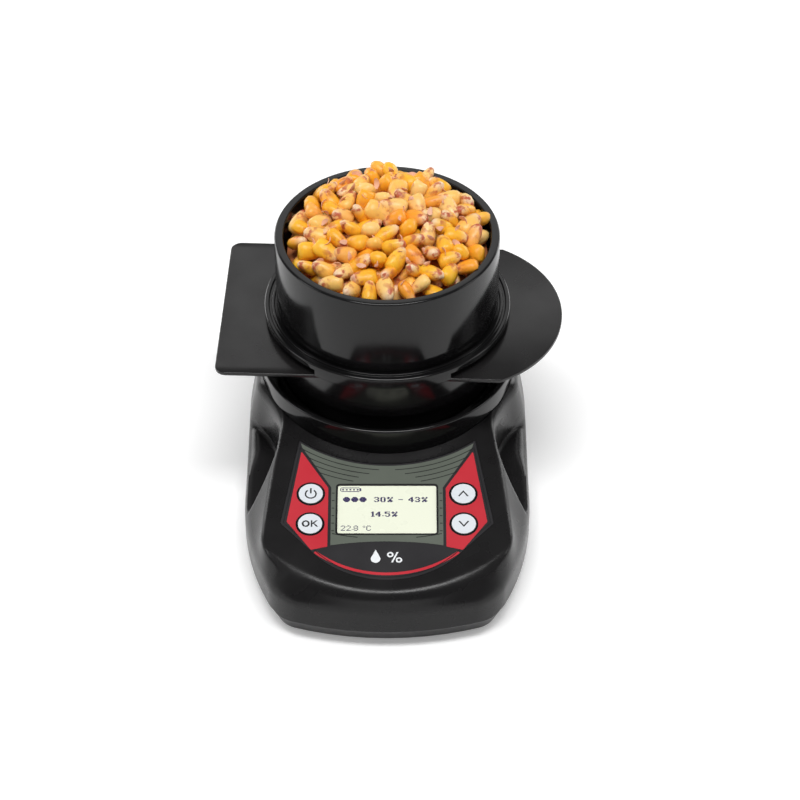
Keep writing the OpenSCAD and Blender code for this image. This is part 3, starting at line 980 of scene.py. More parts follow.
@dataclass
class Overlay:
    """Printed film on the console, drawn in millimetres; y is 0 at the upper edge, downhill is negative."""

    tip: Point = (39.2, 13.2)
    cheek: Point = (46.7, -32.4)
    jaw_x: float = 33.6
    base_y: float = -62.6
    base_r: float = 43.0
    throat_r: float = 64.0
    window_y: float = -24.8
    window: tuple[float, float] = (43.4, 26.2)
    key_x: float = 33.6
    key_pitch: float = 16.4
    key_hole_r: float = 6.05
    top: float = -0.1
    under: float = -0.5
    ink: float = 0.03
    badge_y: float = -50.6
    badge_scale: float = 1.35
    line_w: float = 0.38
    tick_y: float = -16.0
    tick_pitch: float = 4.1
    inks: list[bpy.types.Object] = field(default_factory=list)

    def key_places(self) -> list[Point]:
        """Middles of the keys: power, OK, up, down."""
        y = self.window_y + 0.1
        half = self.key_pitch / 2
        return [(s * self.key_x, y + t * half) for s in (-1, 1) for t in (1, -1)]

    def outline(self, by: float = 0.0) -> list[Point]:
        """Closed outline of the film, grown by a distance.

        Args:
            by: The distance.

        Returns:
            The outline.
        """
        jaw = math.degrees(math.asin(self.jaw_x / self.base_r))
        lower = arc((0, self.base_y + self.base_r), self.base_r, -90 - jaw, -90 + jaw, 40)
        reach = math.degrees(math.asin((self.tip[0] - 0.6) / self.throat_r))
        upper = arc((0, self.throat_r), self.throat_r, -90 + reach, -90 - reach, 40)
        right = rounded([lower[-1], self.cheek, self.tip, upper[0]], [0, 1.5, 1.6, 0])[1:-1]
        return grown(lower + right + upper + mirrored(right)[: len(right)], by)

    def holes(self) -> list[list[Point]]:
        """Outlines of the key holes."""
        return [circle(at, self.key_hole_r) for at in self.key_places()]

    def print_ink(
        self, name: str, loops: Sequence[Sequence[Point]], finish: Finish, layer: int = 1
    ) -> None:
        """Adds one printed colour.

        Args:
            name: Name of the printed shape.
            loops: Its outlines.
            finish: Its colour.
            layer: How many layers of ink it ends above the film.
        """
        low = self.top + self.ink * (layer - 1)
        self.inks.append(slab("print_" + name, loops, low, low + self.ink, finish))

    def cheek_panel(self) -> list[Point]:
        """Outline of the red panel around the right pair of keys."""
        corners = [(38.2, 7.2), (25.9, -13.2), (25.9, -45.0), (33.0, -46.8), (43.9, -31.6)]
        return rounded(corners, [0.4, 1.0, 0.5, 0.8, 1.2])[::-1]

    def sage_field(self) -> list[Point]:
        """Outline of the grey-green field around the display."""
        edge = [(24.6, -44.3), (24.6, -12.9), (37.9, 9.4), (38.6, 12.0)]
        upper = arc((0, self.throat_r), self.throat_r + 0.9, -53.6, -126.4, 40)
        lower = arc((0, -188.0), 145.8, 99.7, 80.3, 24)
        return edge + upper + mirrored(edge) + lower[1:-1]

    def build(self) -> None:
        """Builds the film and everything printed on it."""
        window = box_loop(self.window[0], self.window[1], 1.0, self.window_y)
        film = slab(
            "overlay_film", [self.outline(), window, *self.holes()], self.under, self.top, FILM_CHARCOAL
        )
        mount(film, Body.METER, "overlay_print", "keypad_overlay")
        sides = [self.cheek_panel(), mirrored(self.cheek_panel())]
        keys = self.holes()
        self.print_ink("sage", [self.sage_field(), grown(window, 0.05)], FILM_SAGE)
        for side, name, first in ((sides[0], "right", 2), (sides[1], "left", 0)):
            self.print_ink("border_" + name, [grown(side, 0.75), *keys[first : first + 2]], FILM_BLACK, 2)
            self.print_ink("red_" + name, [side, *keys[first : first + 2]], FILM_RED, 3)
        self.print_ink("red_smile", [band((0, -11.9), 46.9, 48.3, 229.0, 311.0)], FILM_RED)
        self.print_ink("edge_line", [self.edge_line()], FILM_BLACK, 2)
        self.print_ink("window_frame", [grown(window, 0.85), grown(window, 0.0)], FILM_BLACK, 2)
        for i, at in enumerate(self.key_places()):
            ring = [circle(at, self.key_hole_r + 0.3), circle(at, self.key_hole_r)]
            self.print_ink(f"key_ring_{i}", ring, FILM_BLACK, 4)
        self.contour_lines()
        self.badge()
        for piece in self.inks:
            mount(piece, Body.METER, "overlay_print")

    def edge_line(self) -> list[Point]:
        """Closed outline of the thin line that runs inside the film's edge, from tip to tip."""
        lower = arc((0, self.base_y + self.base_r), self.base_r - 1.4, -90 - 51.5, -90 + 51.5, 48)
        right = [(45.3, -32.2), (38.75, 9.0)]
        return stroke([(-x, y) for x, y in right[::-1]] + lower + right, 0.35)

    def contour_lines(self) -> None:
        """Prints the thin arcs in the grey-green field."""
        thin = self.line_w
        spans = ((66.9, 35.5, 3.0), (69.5, 33.2, 6.5), (72.1, 29.5, 10.0), (74.7, 25.0, 11.5))
        loops = []
        for radius, wide, narrow in spans:
            for side in (-1, 1):
                start, end = sorted((-90 + side * wide, -90 + side * narrow))
                loops.append(band((0, self.throat_r), radius, radius + thin, start, end))
        for k in range(6):
            y = self.tick_y - self.tick_pitch * k
            for side in (-1, 1):
                loops.append(box_loop(1.2, thin, 0.0, y, side * 23.7))
        for start, end in ((-103.2, -97.0), (-83.0, -76.8)):
            loops.append(band((0, self.throat_r), 104.6, 104.6 + thin, start, end))
        self.print_ink("contour_lines", loops, FILM_BLACK, 2)

    def badge(self) -> None:
        """Prints a plain droplet and a per cent sign in place of a name."""
        y, k = self.badge_y, self.badge_scale
        drop = arc((-3.6 * k, y - 0.7 * k), 1.55 * k, -200, 20, 20) + [(-3.6 * k, y + 2.9 * k)]
        rings = []
        for cx, cy in ((1.1, 0.95), (3.9, -1.15)):
            rings += [circle((cx * k, y + cy * k), r * k, 24) for r in (1.05, 0.5)]
        slash = [(x * k, y + up * k) for x, up in ((1.35, -2.1), (1.95, -2.1), (3.75, 1.95), (3.15, 1.95))]
        self.print_ink("badge", [drop, *rings, slash], FILM_WHITE, 2)


# ------------------------------------------------------------------ geometry-nodes helper


class Nodes:
    """A geometry-nodes tree with named inputs, applied to one piece and then baked."""

    def __init__(self, name: str, inputs: dict[str, tuple[str, object]]) -> None:
        """Makes the tree.

        Args:
            name: Name of the tree.
            inputs: Socket type and value of each input after the geometry.
        """
        self.tree = bpy.data.node_groups.new(name, "GeometryNodeTree")
        self.values = {key: value for key, (_, value) in inputs.items()}
        face = self.tree.interface
        face.new_socket("Geometry", in_out="INPUT", socket_type="NodeSocketGeometry")
        face.new_socket("Geometry", in_out="OUTPUT", socket_type="NodeSocketGeometry")
        for key, (kind, _) in inputs.items():
            face.new_socket(key, in_out="INPUT", socket_type=kind)
        self.start = self.tree.nodes.new("NodeGroupInput")
        self.end = self.tree.nodes.new("NodeGroupOutput")

    def add(self, kind: str, links: dict[str, object] | None = None, **settings: object) -> bpy.types.Node:
        """Adds a node.

        Args:
            kind: The node's type.
            links: For each input, by name or number, a socket to link or a value to set.
            settings: Properties of the node.

        Returns:
            The node.
        """
        node = self.tree.nodes.new(kind)
        for key, value in settings.items():
            setattr(node, key, value)
        for key, value in (links or {}).items():
            if isinstance(value, bpy.types.NodeSocket):
                self.tree.links.new(value, node.inputs[key])
            else:
                node.inputs[key].default_value = value
        return node

    def given(self, key: str) -> bpy.types.NodeSocket:
        """Returns a named input of the tree."""
        return self.start.outputs[key]

    def finish(self, result: bpy.types.NodeSocket, finish: Finish) -> None:
        """Ends the tree: realizes the instances and sets their material.

        Args:
            result: Geometry that the tree ends with.
            finish: What it is dressed in.
        """
        real = self.add("GeometryNodeRealizeInstances", {"Geometry": result})
        dressed = self.add(
            "GeometryNodeSetMaterial", {"Geometry": real.outputs[0], "Material": finish.material()}
        )
        self.tree.links.new(dressed.outputs[0], self.end.inputs[0])

    def run(self, piece: bpy.types.Object) -> bpy.types.Object:
        """Applies the tree to a piece, bakes it and drops the modifier.

        Args:
            piece: The piece whose mesh is the tree's geometry.

        Returns:
            The piece, with the result as its mesh.
        """
        step = piece.modifiers.new("nodes", "NODES")
        step.node_group = self.tree
        for item in self.tree.interface.items_tree:
            if item.in_out == "INPUT" and item.name in self.values:
                step[item.identifier] = self.values[item.name]
        return baked(piece)


# ------------------------------------------------------------------ display and keys


@dataclass
class Display:
    """Display pane with a dot-matrix reading on it."""

    size: tuple[float, float] = (44.0, 26.8)
    middle_y: float = -24.8
    pane_top: float = -0.51
    pane_t: float = 1.6
    pitch: float = 0.4
    ink: float = 0.02

    def dots(self) -> list[Point]:
        """Places of the dark dots, in millimetres in the console plane."""
        left, top = -self.size[0] / 2 + 1.6, self.middle_y + self.size[1] / 2 - 1.4
        dots: list[Point] = []
        rows = (
            ("@", 0, 0, False), ("===", 3, 13, True), ("30% - 43%", 37, 13, True),
            ("14.5%", 34, 33, True), ("22.8 C", 1, 52, False),
        )
        for text, column, row, bold in rows:
            dots += self.word(text, left + column * self.pitch, top - row * self.pitch, bold)
        return dots

    def word(self, text: str, x: float, y: float, bold: bool) -> list[Point]:
        """Dots of a line of text.

        Args:
            text: Characters of GLYPHS; others leave a gap.
            x: Left edge.
            y: Top edge.
            bold: Whether strokes are two dots wide.

        Returns:
            The middle of each dot, each once.
        """
        dots: dict[tuple[int, int], Point] = {}
        column = 0
        for char in text:
            rows = GLYPHS.get(char, "...").split("/")
            for r, row in enumerate(rows):
                for c, mark in enumerate(row):
                    for i in range(2 if bold else 1):
                        if mark == "#":
                            spot = (column + c + i, r)
                            dots[spot] = (x + spot[0] * self.pitch, y - r * self.pitch)
            column += len(rows[0]) + (2 if bold else 1)
        return list(dots.values())

    def build(self) -> None:
        """Builds the pane and its dots."""
        pane = slab(
            "display_pane", [box_loop(*self.size, 1.0, self.middle_y)],
            self.pane_top - self.pane_t, self.pane_top, SCREEN,
        )
        mount(pane, Body.METER, "display_pane", "display_window")
        cloud = bpy.data.meshes.new("dots")
        cloud.from_pydata([(x, y, self.pane_top + self.ink / 2) for x, y in self.dots()], [], [])
        piece = placed("display_dots", cloud)
        nodes = Nodes(
            "dot_matrix", {"Pitch": ("NodeSocketFloat", self.pitch), "Height": ("NodeSocketFloat", self.ink)}
        )
        fill = nodes.add("ShaderNodeMath", {0: nodes.given("Pitch"), 1: 0.97}, operation="MULTIPLY")
        size = nodes.add(
            "ShaderNodeCombineXYZ", {"X": fill.outputs[0], "Y": fill.outputs[0], "Z": nodes.given("Height")}
        )
        dot = nodes.add("GeometryNodeMeshCube", {"Size": size.outputs[0]})
        laid = nodes.add(
            "GeometryNodeInstanceOnPoints", {"Points": nodes.given("Geometry"), "Instance": dot.outputs[0]}
        )
        nodes.finish(laid.outputs[0], PIXEL)
        nodes.run(piece)
        piece.data.transform(CONSOLE)
        shade(piece, 30.0)
        mount(piece, Body.METER, "display_pane")


GLYPHS = {
    "0": ".###./#...#/#...#/#...#/#...#/#...#/.###.",
    "1": ".#./##./.#./.#./.#./.#./###",
    "2": ".###./#...#/....#/...#./..#../.#.../#####",
    "3": ".###./#...#/....#/..##./....#/#...#/.###.",
    "4": "...#./..##./.#.#./#..#./#####/...#./...#.",
    "5": "#####/#..../####./....#/....#/#...#/.###.",
    "8": ".###./#...#/#...#/.###./#...#/#...#/.###.",
    "C": ".#...###./#.#.#...#/.#..#..../....#..../....#..../....#...#/.....###.",
    "%": ".#...#/#.#..#/.#..#./...#../..#.#./.#.#.#/.#..#.",
    ".": "./././././#",
    "-": "..../..../..../####/..../..../....",
    "=": "..###../.#.#.#./#.#.#.#/#.#.#.#/#.#.#.#/.#.#.#./..###..",
    "@": (
        ".####################./#....................##/#.##..##..##..##..##.##/"
        "#.##..##..##..##..##.##/#....................##/.####################."
    ),
}


class Mark(Enum):
    """What is printed on a key."""

    POWER = "power"
    OK = "ok"
    UP = "up"
    DOWN = "down"


@dataclass
class Key:
    """Push key: a black body, a white face and a printed mark, in millimetres about its own axis."""

    body: Body
    mark: Mark
    at: Point
    radius: float = 5.75
    face_r: float = 5.3
    proud: float = 0.3
    ink: float = 0.03

    def place(self) -> Matrix:
        """Matrix from the key's own millimetres to the frame."""
        return CONSOLE @ Matrix.Translation((*self.at, 0))

    def loops(self) -> list[list[Point]]:
        """Outlines of the mark."""
        if self.mark is Mark.POWER:
            return [
                band((0, -0.2), 2.0, 2.65, 125, 415),
                [(-0.33, 0.1), (0.33, 0.1), (0.33, 2.9), (-0.33, 2.9)],
            ]
        if self.mark is Mark.OK:
            ring = [(x - 1.9, y) for x, y in circle((0, 0), 1.75, 24)]
            hole = [(x * 0.85 - 1.9, y) for x, y in circle((0, 0), 1.12, 24)]
            letter_k = [
                (0.35, -1.7), (1.0, -1.7), (1.0, -0.4), (1.35, -0.05), (2.75, -1.7), (3.6, -1.7),
                (1.8, 0.3), (3.35, 1.7), (2.5, 1.7), (1.0, 0.35), (1.0, 1.7), (0.35, 1.7),
            ]
            return [ring, hole, letter_k]
        way = 1.0 if self.mark is Mark.UP else -1.0
        shape = [(-2.3, -1.25), (-1.75, -1.6), (0, 0.75), (1.75, -1.6), (2.3, -1.25), (0, 1.75)]
        return [[(x, y * way) for x, y in shape][:: int(way)]]

    def build(self) -> None:
        """Builds the key's three pieces."""
        name = self.body.value
        profile = rounded(
            [
                (0, -4.6), (1.5, -4.6), (1.5, -3.4), (6.75, -3.4), (6.75, -2.8), (self.radius, -2.8),
                (self.radius, self.proud - 0.1), (0, self.proud - 0.1),
            ],
            [0, 0.2, 0, 0.15, 0.15, 0, 0.2, 0],
        )
        cap = lathe(name + "_body", profile, FILM_BLACK, 72, place=self.place())
        mount(cap, self.body, "key_white", name)
        rim = [(0, -0.2), (self.face_r, -0.2), (self.face_r, self.proud), (0, self.proud)]
        face = lathe(name + "_face", rounded(rim, [0, 0, 0.09, 0]), KEY_WHITE, 72, place=self.place())
        mount(face, self.body, "key_white")
        mark = slab(
            name + "_mark", self.loops(), self.proud, self.proud + self.ink, FILM_BLACK, self.place()
        )
        mount(mark, self.body, "key_white")


# ------------------------------------------------------------------ turned parts


@dataclass
class Chamber:
    """Measuring chamber with its turret and rounded lip, in millimetres about the chamber axis."""

    stem_r: float = 4.0
    bore_r: float = 47.0
    cup_r: float = 49.5
    socket_r: float = 48.8
    socket_outer_r: float = 51.3
    groove_r: float = 55.5
    turret_r: float = 58.0
    cup_z: float = 8.0
    floor_z: float = 10.5
    skirt_z: float = 38.0
    seat_z: float = 43.0
    groove_z: float = 47.0
    lip_z: float = 54.2
    peg_r: float = 2.6
    peg_drop: float = 2.2
    peg_at: float = 24.0

    def profile(self) -> list[Point]:
        """Closed section from the stem's hole outwards and back."""
        corners = [
            (self.stem_r, self.cup_z, 0.0), (self.cup_r, self.cup_z, 0.8),
            (self.cup_r, self.seat_z - 2, 0.0), (self.socket_outer_r, self.seat_z - 2, 0.0),
            (self.socket_outer_r, self.groove_z - 2, 0.0), (self.groove_r, self.groove_z - 2, 0.0),
            (self.groove_r, self.skirt_z, 0.2), (self.turret_r, self.skirt_z, 0.3),
            (self.turret_r, self.lip_z, 1.1), (self.groove_r, self.lip_z, 1.1),
            (self.groove_r, self.groove_z, 0.8), (self.socket_r, self.groove_z, 0.3),
            (self.socket_r, self.seat_z, 0.0), (self.bore_r, self.seat_z, 0.3),
            (self.bore_r, self.floor_z, 0.5), (self.stem_r, self.floor_z, 0.0),
        ]
        return rounded([c[:2] for c in corners], [c[2] for c in corners])

    def build(self) -> None:
        """Builds the chamber with the four pegs that carry the sensor board."""
        cup = lathe("chamber_turned", self.profile(), TURNED, 256)
        pegs = []
        low, high = self.cup_z - self.peg_drop, self.cup_z + 0.2
        section = [(0, low), (self.peg_r, low), (self.peg_r, high), (0, high)]
        peg = rounded(section, [0, 0.3, 0, 0])
        for i in range(4):
            out = Matrix.Translation((self.peg_at, 0, 0))
            turn = Matrix.Rotation(math.radians(45 + 90 * i), 4, "Z") @ out
            pegs.append(lathe(f"peg_{i}", peg, TURNED, 32, place=UPRIGHT @ turn))
        cut(cup, pegs, "UNION")
        shade(cup, 40.0)
        mount(cup, Body.METER, "chamber_black", "measuring_chamber")


@dataclass
class Hopper:
    """Hopper: a tube cemented into a collar with a slot for the knife, in millimetres."""

    turn: float = HOPPER_TURN
    bore_r: float = 46.0
    tube_r: float = 50.0
    spigot_r: float = 48.5
    collar_r: float = 55.5
    spigot_z: float = 43.3
    neck_z: float = 56.5
    slot_z: float = 74.5
    slot_top: float = 79.7
    tube_z: float = 76.8
    collar_z: float = 82.4
    rim_z: float = 120.4
    slot_half: float = 46.7
    undercut: float = 2.2

    def tube(self) -> bpy.types.Object:
        """Returns the tube."""
        corners = [
            (self.bore_r, self.tube_z), (self.tube_r, self.tube_z),
            (self.tube_r, self.rim_z), (self.bore_r, self.rim_z),
        ]
        return lathe("hopper_turned", rounded(corners, [0.3, 0.3, 1.0, 0.8], 6), TURNED, 256)

    def collar(self) -> bpy.types.Object:
        """Returns the collar, slotted through from side to side."""
        r, z = self.collar_r, self.collar_z
        corners = [
            (self.bore_r, self.spigot_z, 0.3), (self.spigot_r, self.spigot_z, 0.4),
            (self.spigot_r, self.neck_z, 0.0), (self.tube_r, self.neck_z, 0.4),
            (self.tube_r, self.slot_z - self.undercut, 1.2), (r, self.slot_z + 1.7, 0.5),
            (r, z, 1.2), (r - 2, z, 0.3), (r - 2.3, z - 0.8, 0.2), (r - 3.3, z - 0.8, 0.2),
            (r - 3.6, z, 0.3), (r - 4.6, z, 0.3), (r - 4.8, z - 0.8, 0.2),
            (self.tube_r + 0.05, z - 0.8, 0.0), (self.tube_r + 0.05, self.slot_z, 0.0),
            (self.bore_r, self.slot_z, 0.3),
        ]
        collar = lathe(
            "collar_turned", rounded([c[:2] for c in corners], [c[2] for c in corners]), TURNED, 256
        )
        loop = box_loop(4 * r, 2 * self.slot_half, 0.0, 0.0)
        place = UPRIGHT @ Matrix.Rotation(self.turn, 4, "Z")
        cut(collar, [slab("cut_slot", [loop], self.slot_z, self.slot_top, TURNED, place)])
        shade(collar, 40.0)
        return collar

    def build(self) -> None:
        """Builds the tube and the collar."""
        mount(self.tube(), Body.HOPPER, "hopper_black", "hopper_tube")
        mount(self.collar(), Body.HOPPER, "hopper_black", "slot_collar")


@dataclass
class Knife:
    """Knife plate that holds the grain in the hopper until it is drawn out, in millimetres."""

    turn: float = HOPPER_TURN
    left: float = 74.5
    right: float = 79.0
    half: float = 46.4
    nose_r: float = 53.0
    corner_r: float = 5.0
    low: float = 74.7
    top: float = 76.5

    def build(self) -> None:
        """Builds the plate with its edges broken."""
        reach = math.degrees(math.asin(self.half / self.nose_r))
        x, y, r = self.corner_r - self.left, self.half - self.corner_r, self.corner_r
        loop = arc((self.right - self.nose_r, 0), self.nose_r, -reach, reach, 72)
        loop += arc((x, y), r, 90, 180, 12) + arc((x, -y), r, 180, 270, 12)
        place = UPRIGHT @ Matrix.Rotation(self.turn, 4, "Z")
        plate = slab("knife_blade", [loop], self.low, self.top, BLADE, place, edge=0.35)
        mount(plate, Body.KNIFE, "knife_black", "knife_plate")


# ------------------------------------------------------------------ grain


@dataclass
class Grain:
    """Heap of maize in the hopper: kernels scattered over stacked domes, and chaff among them."""

    radius: float = 44.5
    rim_z: float = 120.4
    crown: float = 6.5
    edge_drop: float = 1.4
    lean: float = 3.2
    layers: int = 3
    layer_gap: float = 3.4
    spacing: float = 7.0
    seed: int = 12
    kernel_half: Point = (5.0, 3.9)
    kernel_top: float = 5.4
    kernel_low: float = 6.2
    kernel_end: float = 6.4
    bed_gap: float = 9.0
    bed_depth: float = 30.0

    def height(self, x: float, y: float) -> float:
        """Height of the heap above the hopper's rim: a dome that leans to the back.

        Args:
            x: Place across the hopper, in millimetres.
            y: Place along it.

        Returns:
            The height.
        """
        share = min(1.0, math.hypot(x, y) / self.radius)
        return self.crown - (self.crown + self.edge_drop) * share**3 + self.lean * y / self.radius

    def domes(self, radius: float, layers: int, name: str, lift: float = 0.0) -> bpy.types.Object:
        """Returns stacked dome sheets that the scatter takes its points from.

        Args:
            radius: Outer radius of the sheets.
            layers: Number of sheets.
            name: Name of the object.
            lift: Height added to every sheet.

        Returns:
            The sheets as one object.
        """
        rings, spokes = 12, 48
        verts: list[tuple[float, float, float]] = []
        faces = []
        for layer in range(layers):
            first = len(verts)
            for i in range(1, rings + 1):
                for k in range(spokes):
                    x = radius * i / rings * math.cos(TURN * k / spokes)
                    y = radius * i / rings * math.sin(TURN * k / spokes)
                    z = self.height(x, y) + self.rim_z + lift - layer * self.layer_gap
                    verts.append((x * MM, y * MM, z * MM))
            for i in range(rings - 1):
                for k in range(spokes):
                    a, b = first + i * spokes + k, first + i * spokes + (k + 1) % spokes
                    faces.append((a, b, b + spokes, a + spokes))
            faces.append(tuple(first + k for k in range(spokes)))
        mesh = bpy.data.meshes.new(name)
        mesh.from_pydata(verts, [], faces)
        return placed(name, mesh)

    def kernel(self) -> bpy.types.Object:
        """Returns one kernel about its middle: a wide rounded crown and a narrow flat tip."""
        rings, spokes = 8, 10
        verts, tipward = [(0.0, 0.0, self.kernel_top)], [0.0]
        for i in range(1, rings):
            t = i / rings
            up = math.cos(math.pi * t)
            wide = math.sin(math.pi * t) ** 0.5 * (1 - 0.52 * t**1.4)
            for k in range(spokes):
                a = TURN * k / spokes
                x = self.kernel_half[0] * wide * math.cos(a)
                y = self.kernel_half[1] * wide * math.sin(a)
                dent = 0.5 * max(0.0, 1 - t * 2.2) * math.cos(2 * a)
                verts.append((x, y, (self.kernel_top if up > 0 else self.kernel_low) * up + dent))
                tipward.append(t)
        verts.append((0.0, 0.0, -self.kernel_end))
        tipward.append(1.0)
        faces: list[tuple[int, ...]] = [(0, 1 + k, 1 + (k + 1) % spokes) for k in range(spokes)]
        for i in range(rings - 2):
            for k in range(spokes):
                a, b = 1 + i * spokes + k, 1 + i * spokes + (k + 1) % spokes
                faces.append((a, a + spokes, b + spokes, b))
        last = 1 + (rings - 2) * spokes
        faces += [(len(verts) - 1, last + (k + 1) % spokes, last + k) for k in range(spokes)]
        made = solid("kernel", [[c * MM for c in v] for v in verts], faces, MAIZE, 80.0)
        mark = made.data.attributes.new("tipward", "FLOAT", "POINT")
        mark.data.foreach_set("value", tipward)
        return made

    def flake(self) -> bpy.types.Object:
        """Returns one flake of chaff: a thin closed curl."""
        verts, faces = [], []
        for i in range(5):
            u = i / 4
            half, lift = 1.1 * math.sin(math.pi * (0.12 + 0.76 * u)), 0.9 * (u - 0.5) ** 2 * 4
            for y, z in ((-half, 0.25), (half, -0.1), (half, 0.08), (-half, 0.43)):
                verts.append(((u - 0.5) * 4.4 * MM, y * MM, (z + lift) * MM))
        for i in range(4):
            for k in range(4):
                a, b = 4 * i + k, 4 * i + (k + 1) % 4
                faces.append((a, b, b + 4, a + 4))
        faces += [(3, 2, 1, 0), (16, 17, 18, 19)]
        made = solid("flake", verts, faces, CHAFF, 50.0)
        weld(made)
        return made

    def scatter(
        self, name: str, sheet: bpy.types.Object, one: bpy.types.Object, finish: Finish,
        spacing: float, density: float, tumble: float,
    ) -> bpy.types.Object:
        """Scatters copies of one piece over a sheet with geometry nodes.

        Args:
            name: Name of the result.
            sheet: Mesh that the points are spread on; it becomes the result.
            one: The piece to repeat; it is used up.
            finish: What the copies are dressed in.
            spacing: Smallest distance between copies, in millimetres.
            density: Tries per square metre.
            tumble: Largest lean away from the sheet, in radians.

        Returns:
            The scattered copies as one mesh.
        """
        nodes = Nodes(
            name,
            {
                "Spacing": ("NodeSocketFloat", spacing * MM),
                "Density": ("NodeSocketFloat", density),
                "Tumble": ("NodeSocketFloat", tumble),
                "Smallest": ("NodeSocketFloat", 0.88),
                "Largest": ("NodeSocketFloat", 1.12),
                "Seed": ("NodeSocketInt", self.seed),
            },
        )
        seed = nodes.given("Seed")
        spread = nodes.add(
            "GeometryNodeDistributePointsOnFaces",
            {
                "Mesh": nodes.given("Geometry"), "Distance Min": nodes.given("Spacing"),
                "Density Max": nodes.given("Density"), "Seed": seed,
            },
            distribute_method="POISSON",
        )
        source = nodes.add("GeometryNodeObjectInfo", {"Object": one}, transform_space="ORIGINAL")
        low = nodes.add("ShaderNodeMath", {0: nodes.given("Tumble"), 1: -1.0}, operation="MULTIPLY")
        ends = [
            nodes.add("ShaderNodeCombineXYZ", {"X": lean, "Y": lean, "Z": spin}).outputs[0]
            for lean, spin in ((low.outputs[0], 0.0), (nodes.given("Tumble"), TURN))
        ]
        tumbled = nodes.add(
            "FunctionNodeRandomValue", {"Min": ends[0], "Max": ends[1], "Seed": seed},
            data_type="FLOAT_VECTOR",
        )
        flat = nodes.add("FunctionNodeEulerToRotation", {"Euler": (math.pi / 2, 0.0, 0.0)})
        spun = nodes.add("FunctionNodeEulerToRotation", {"Euler": tumbled.outputs["Value"]})
        turned = nodes.add(
            "FunctionNodeRotateRotation", {0: flat.outputs[0], 1: spun.outputs[0]},
            rotation_space="GLOBAL",
        )
        size = nodes.add("FunctionNodeRandomValue", {"Seed": seed}, data_type="FLOAT")
        size_sockets = [s for s in size.inputs if s.name in ("Min", "Max") and s.type == "VALUE"]
        for socket, key in zip(size_sockets[:2], ("Smallest", "Largest")):
            nodes.tree.links.new(nodes.given(key), socket)
        size_out = next(s for s in size.outputs if s.type == "VALUE")
        laid = nodes.add(
            "GeometryNodeInstanceOnPoints",
            {
                "Points": spread.outputs["Points"], "Instance": source.outputs["Geometry"],
                "Rotation": turned.outputs[0], "Scale": size_out,
            },
        )
        shade_value = nodes.add("FunctionNodeRandomValue", {"Seed": 5}, data_type="FLOAT")
        stored = nodes.add(
            "GeometryNodeStoreNamedAttribute",
            {
                "Geometry": laid.outputs[0], "Name": "shade",
                "Value": next(s for s in shade_value.outputs if s.type == "VALUE"),
            },
            data_type="FLOAT", domain="INSTANCE",
        )
        nodes.finish(stored.outputs[0], finish)
        sheet.name = name
        nodes.run(sheet)
        bpy.data.objects.remove(one)
        shade(sheet, 80.0)
        return sheet

    def build(self) -> None:
        """Builds the kernels, the chaff and the closed bed under them, whose darker colour is painted shade.
        """
        r = self.radius
        sheet = self.domes(r - 2.6, self.layers, "maize_sheet")
        kernels = self.scatter("maize_kernels", sheet, self.kernel(), MAIZE, self.spacing, 90000.0, 1.15)
        mount(kernels, Body.HOPPER, "hopper_black")
        sheet = self.domes(r - 5.0, 1, "chaff_sheet", 3.2)
        chaff = self.scatter("maize_chaff", sheet, self.flake(), CHAFF, 6.5, 30000.0, 1.2)
        mount(chaff, Body.HOPPER, "hopper_black")
        # The bed stands for the grain below the heap; its darker colour is painted shade.
        steps = [r * i / 10 for i in range(11)]
        top = [(s, self.rim_z - self.bed_gap + self.height(s, 0.0)) for s in steps]
        floor = self.rim_z - self.bed_depth
        bed = [(0.0, floor), (r, floor), *top[::-1]]
        mount(lathe("maize_bed", bed, GRAIN_BED_SHADE, 96), Body.HOPPER, "hopper_black")


# ------------------------------------------------------------------ finishes of the CAD nodes

NODE_FINISHES = {
    "base_shell": BASE, "battery_door": BASE, "rubber_feet": RUBBER, "case_screws": STEEL,
    "outer_electrode": ALLOY, "centre_electrode": ALLOY, "electrode_insulator": INSULATOR,
    "temperature_probe": STEEL, "sensor_board": BOARD, "main_board": BOARD, "board_screws": STEEL,
    "display_module": MODULE, "key_switches": STEEL, "battery_cells": CELL,
    "battery_springs": STEEL, "battery_plates": STEEL, "ribbon_cable": RIBBON,
}


def finish_nodes(finishes: dict[str, Finish]) -> None:
    """Gives CAD nodes that stay in the picture their finish.

    Args:
        finishes: Finish of each node.
    """
    for name, finish in finishes.items():
        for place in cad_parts[name].material_slots:
            place.link = "DATA"
            place.material = finish.material()


# ------------------------------------------------------------------ studio


@dataclass(frozen=True)
class Lamp:
    """A soft rectangular light that looks at the object."""

    name: str
    at: tuple[float, float, float]
    size: tuple[float, float]
    power: float
    target: tuple[float, float, float] = (0.0, -0.03, 0.05)

    def build(self) -> None:
        """Adds the lamp."""
        data = bpy.data.lights.new(self.name, "AREA")
        data.shape = "RECTANGLE"
        data.size, data.size_y = self.size
        data.energy = self.power
        lamp = placed(self.name, data)
        lamp.location = self.at
        way = Vector(self.target) - Vector(self.at)
        lamp.rotation_euler = way.to_track_quat("-Z", "Y").to_euler()


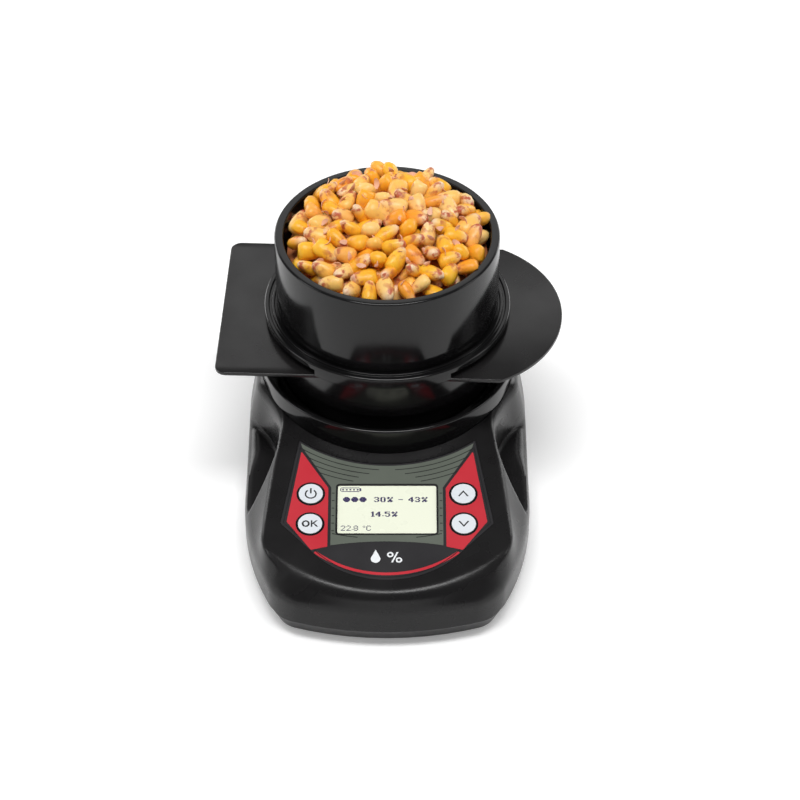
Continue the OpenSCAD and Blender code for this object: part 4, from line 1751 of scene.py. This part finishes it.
@dataclass(frozen=True)
class Studio:
    """White table under soft lights, and the camera."""

    floor_z: float = -1.6 * MM
    camera_at: tuple[float, float, float] = (0.0057, -1.0127, 0.9119)
    camera_pitch: float = math.radians(48.7)
    lens: float = 130.5
    sky: float = 0.2
    lamps: tuple[Lamp, ...] = (
        Lamp("overhead", (0.0, -0.35, 1.5), (1.0, 0.4), 17.0),
        Lamp("back", (0.0, 1.9, 1.5), (1.6, 0.7), 3.5),
        Lamp("left", (-1.6, -0.2, 0.9), (0.5, 1.0), 5.0),
        Lamp("right", (1.6, -0.1, 0.9), (0.5, 1.0), 4.0),
        Lamp("back_left", (-1.4, 1.6, 0.55), (1.0, 0.9), 12.0),
        Lamp("back_right", (1.4, 1.6, 0.55), (1.0, 0.9), 10.0),
    )

    def build(self) -> None:
        """Adds the table, the lights, the sky and the camera."""
        table = Finish(
            "table_white", (0.88, 0.88, 0.88), 0.6, grain=2 * MM, depth=0.002 * MM, mottle=0.02, glow=0.28
        )
        half = 4.0
        corners = [(-half, -half), (half, -half), (half, half), (-half, half)]
        floor = solid("table_top", [(x, y, self.floor_z) for x, y in corners], [(0, 1, 2, 3)], table)
        for lamp in self.lamps:
            lamp.build()
        world = bpy.data.worlds.new("studio")
        world.use_nodes = True
        world.node_tree.nodes["Background"].inputs["Color"].default_value = (1.0, 1.0, 1.0, 1.0)
        world.node_tree.nodes["Background"].inputs["Strength"].default_value = self.sky
        scene = bpy.context.scene
        scene.world = world
        scene.view_settings.view_transform = "Standard"
        lens = bpy.data.cameras.new("camera")
        lens.lens = self.lens
        lens.sensor_width = 36.0
        camera = placed("camera", lens)
        camera.location = self.camera_at
        camera.rotation_euler = (self.camera_pitch, 0.0, 0.0)
        scene.camera = camera


def main() -> None:
    """Builds the looks around the frame."""
    logging.basicConfig(level=logging.INFO, format="%(name)s: %(message)s")
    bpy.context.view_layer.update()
    overlay = Overlay()
    Housing().build()
    overlay.build()
    Display().build()
    bodies = (Body.POWER, Body.OK, Body.UP, Body.DOWN)
    for body, mark, at in zip(bodies, (Mark.POWER, Mark.OK, Mark.UP, Mark.DOWN), overlay.key_places()):
        Key(body, mark, at).build()
    Chamber().build()
    Hopper().build()
    Knife().build()
    Grain().build()
    finish_nodes(NODE_FINISHES)
    Studio().build()


if __name__ == "__main__":
    main()
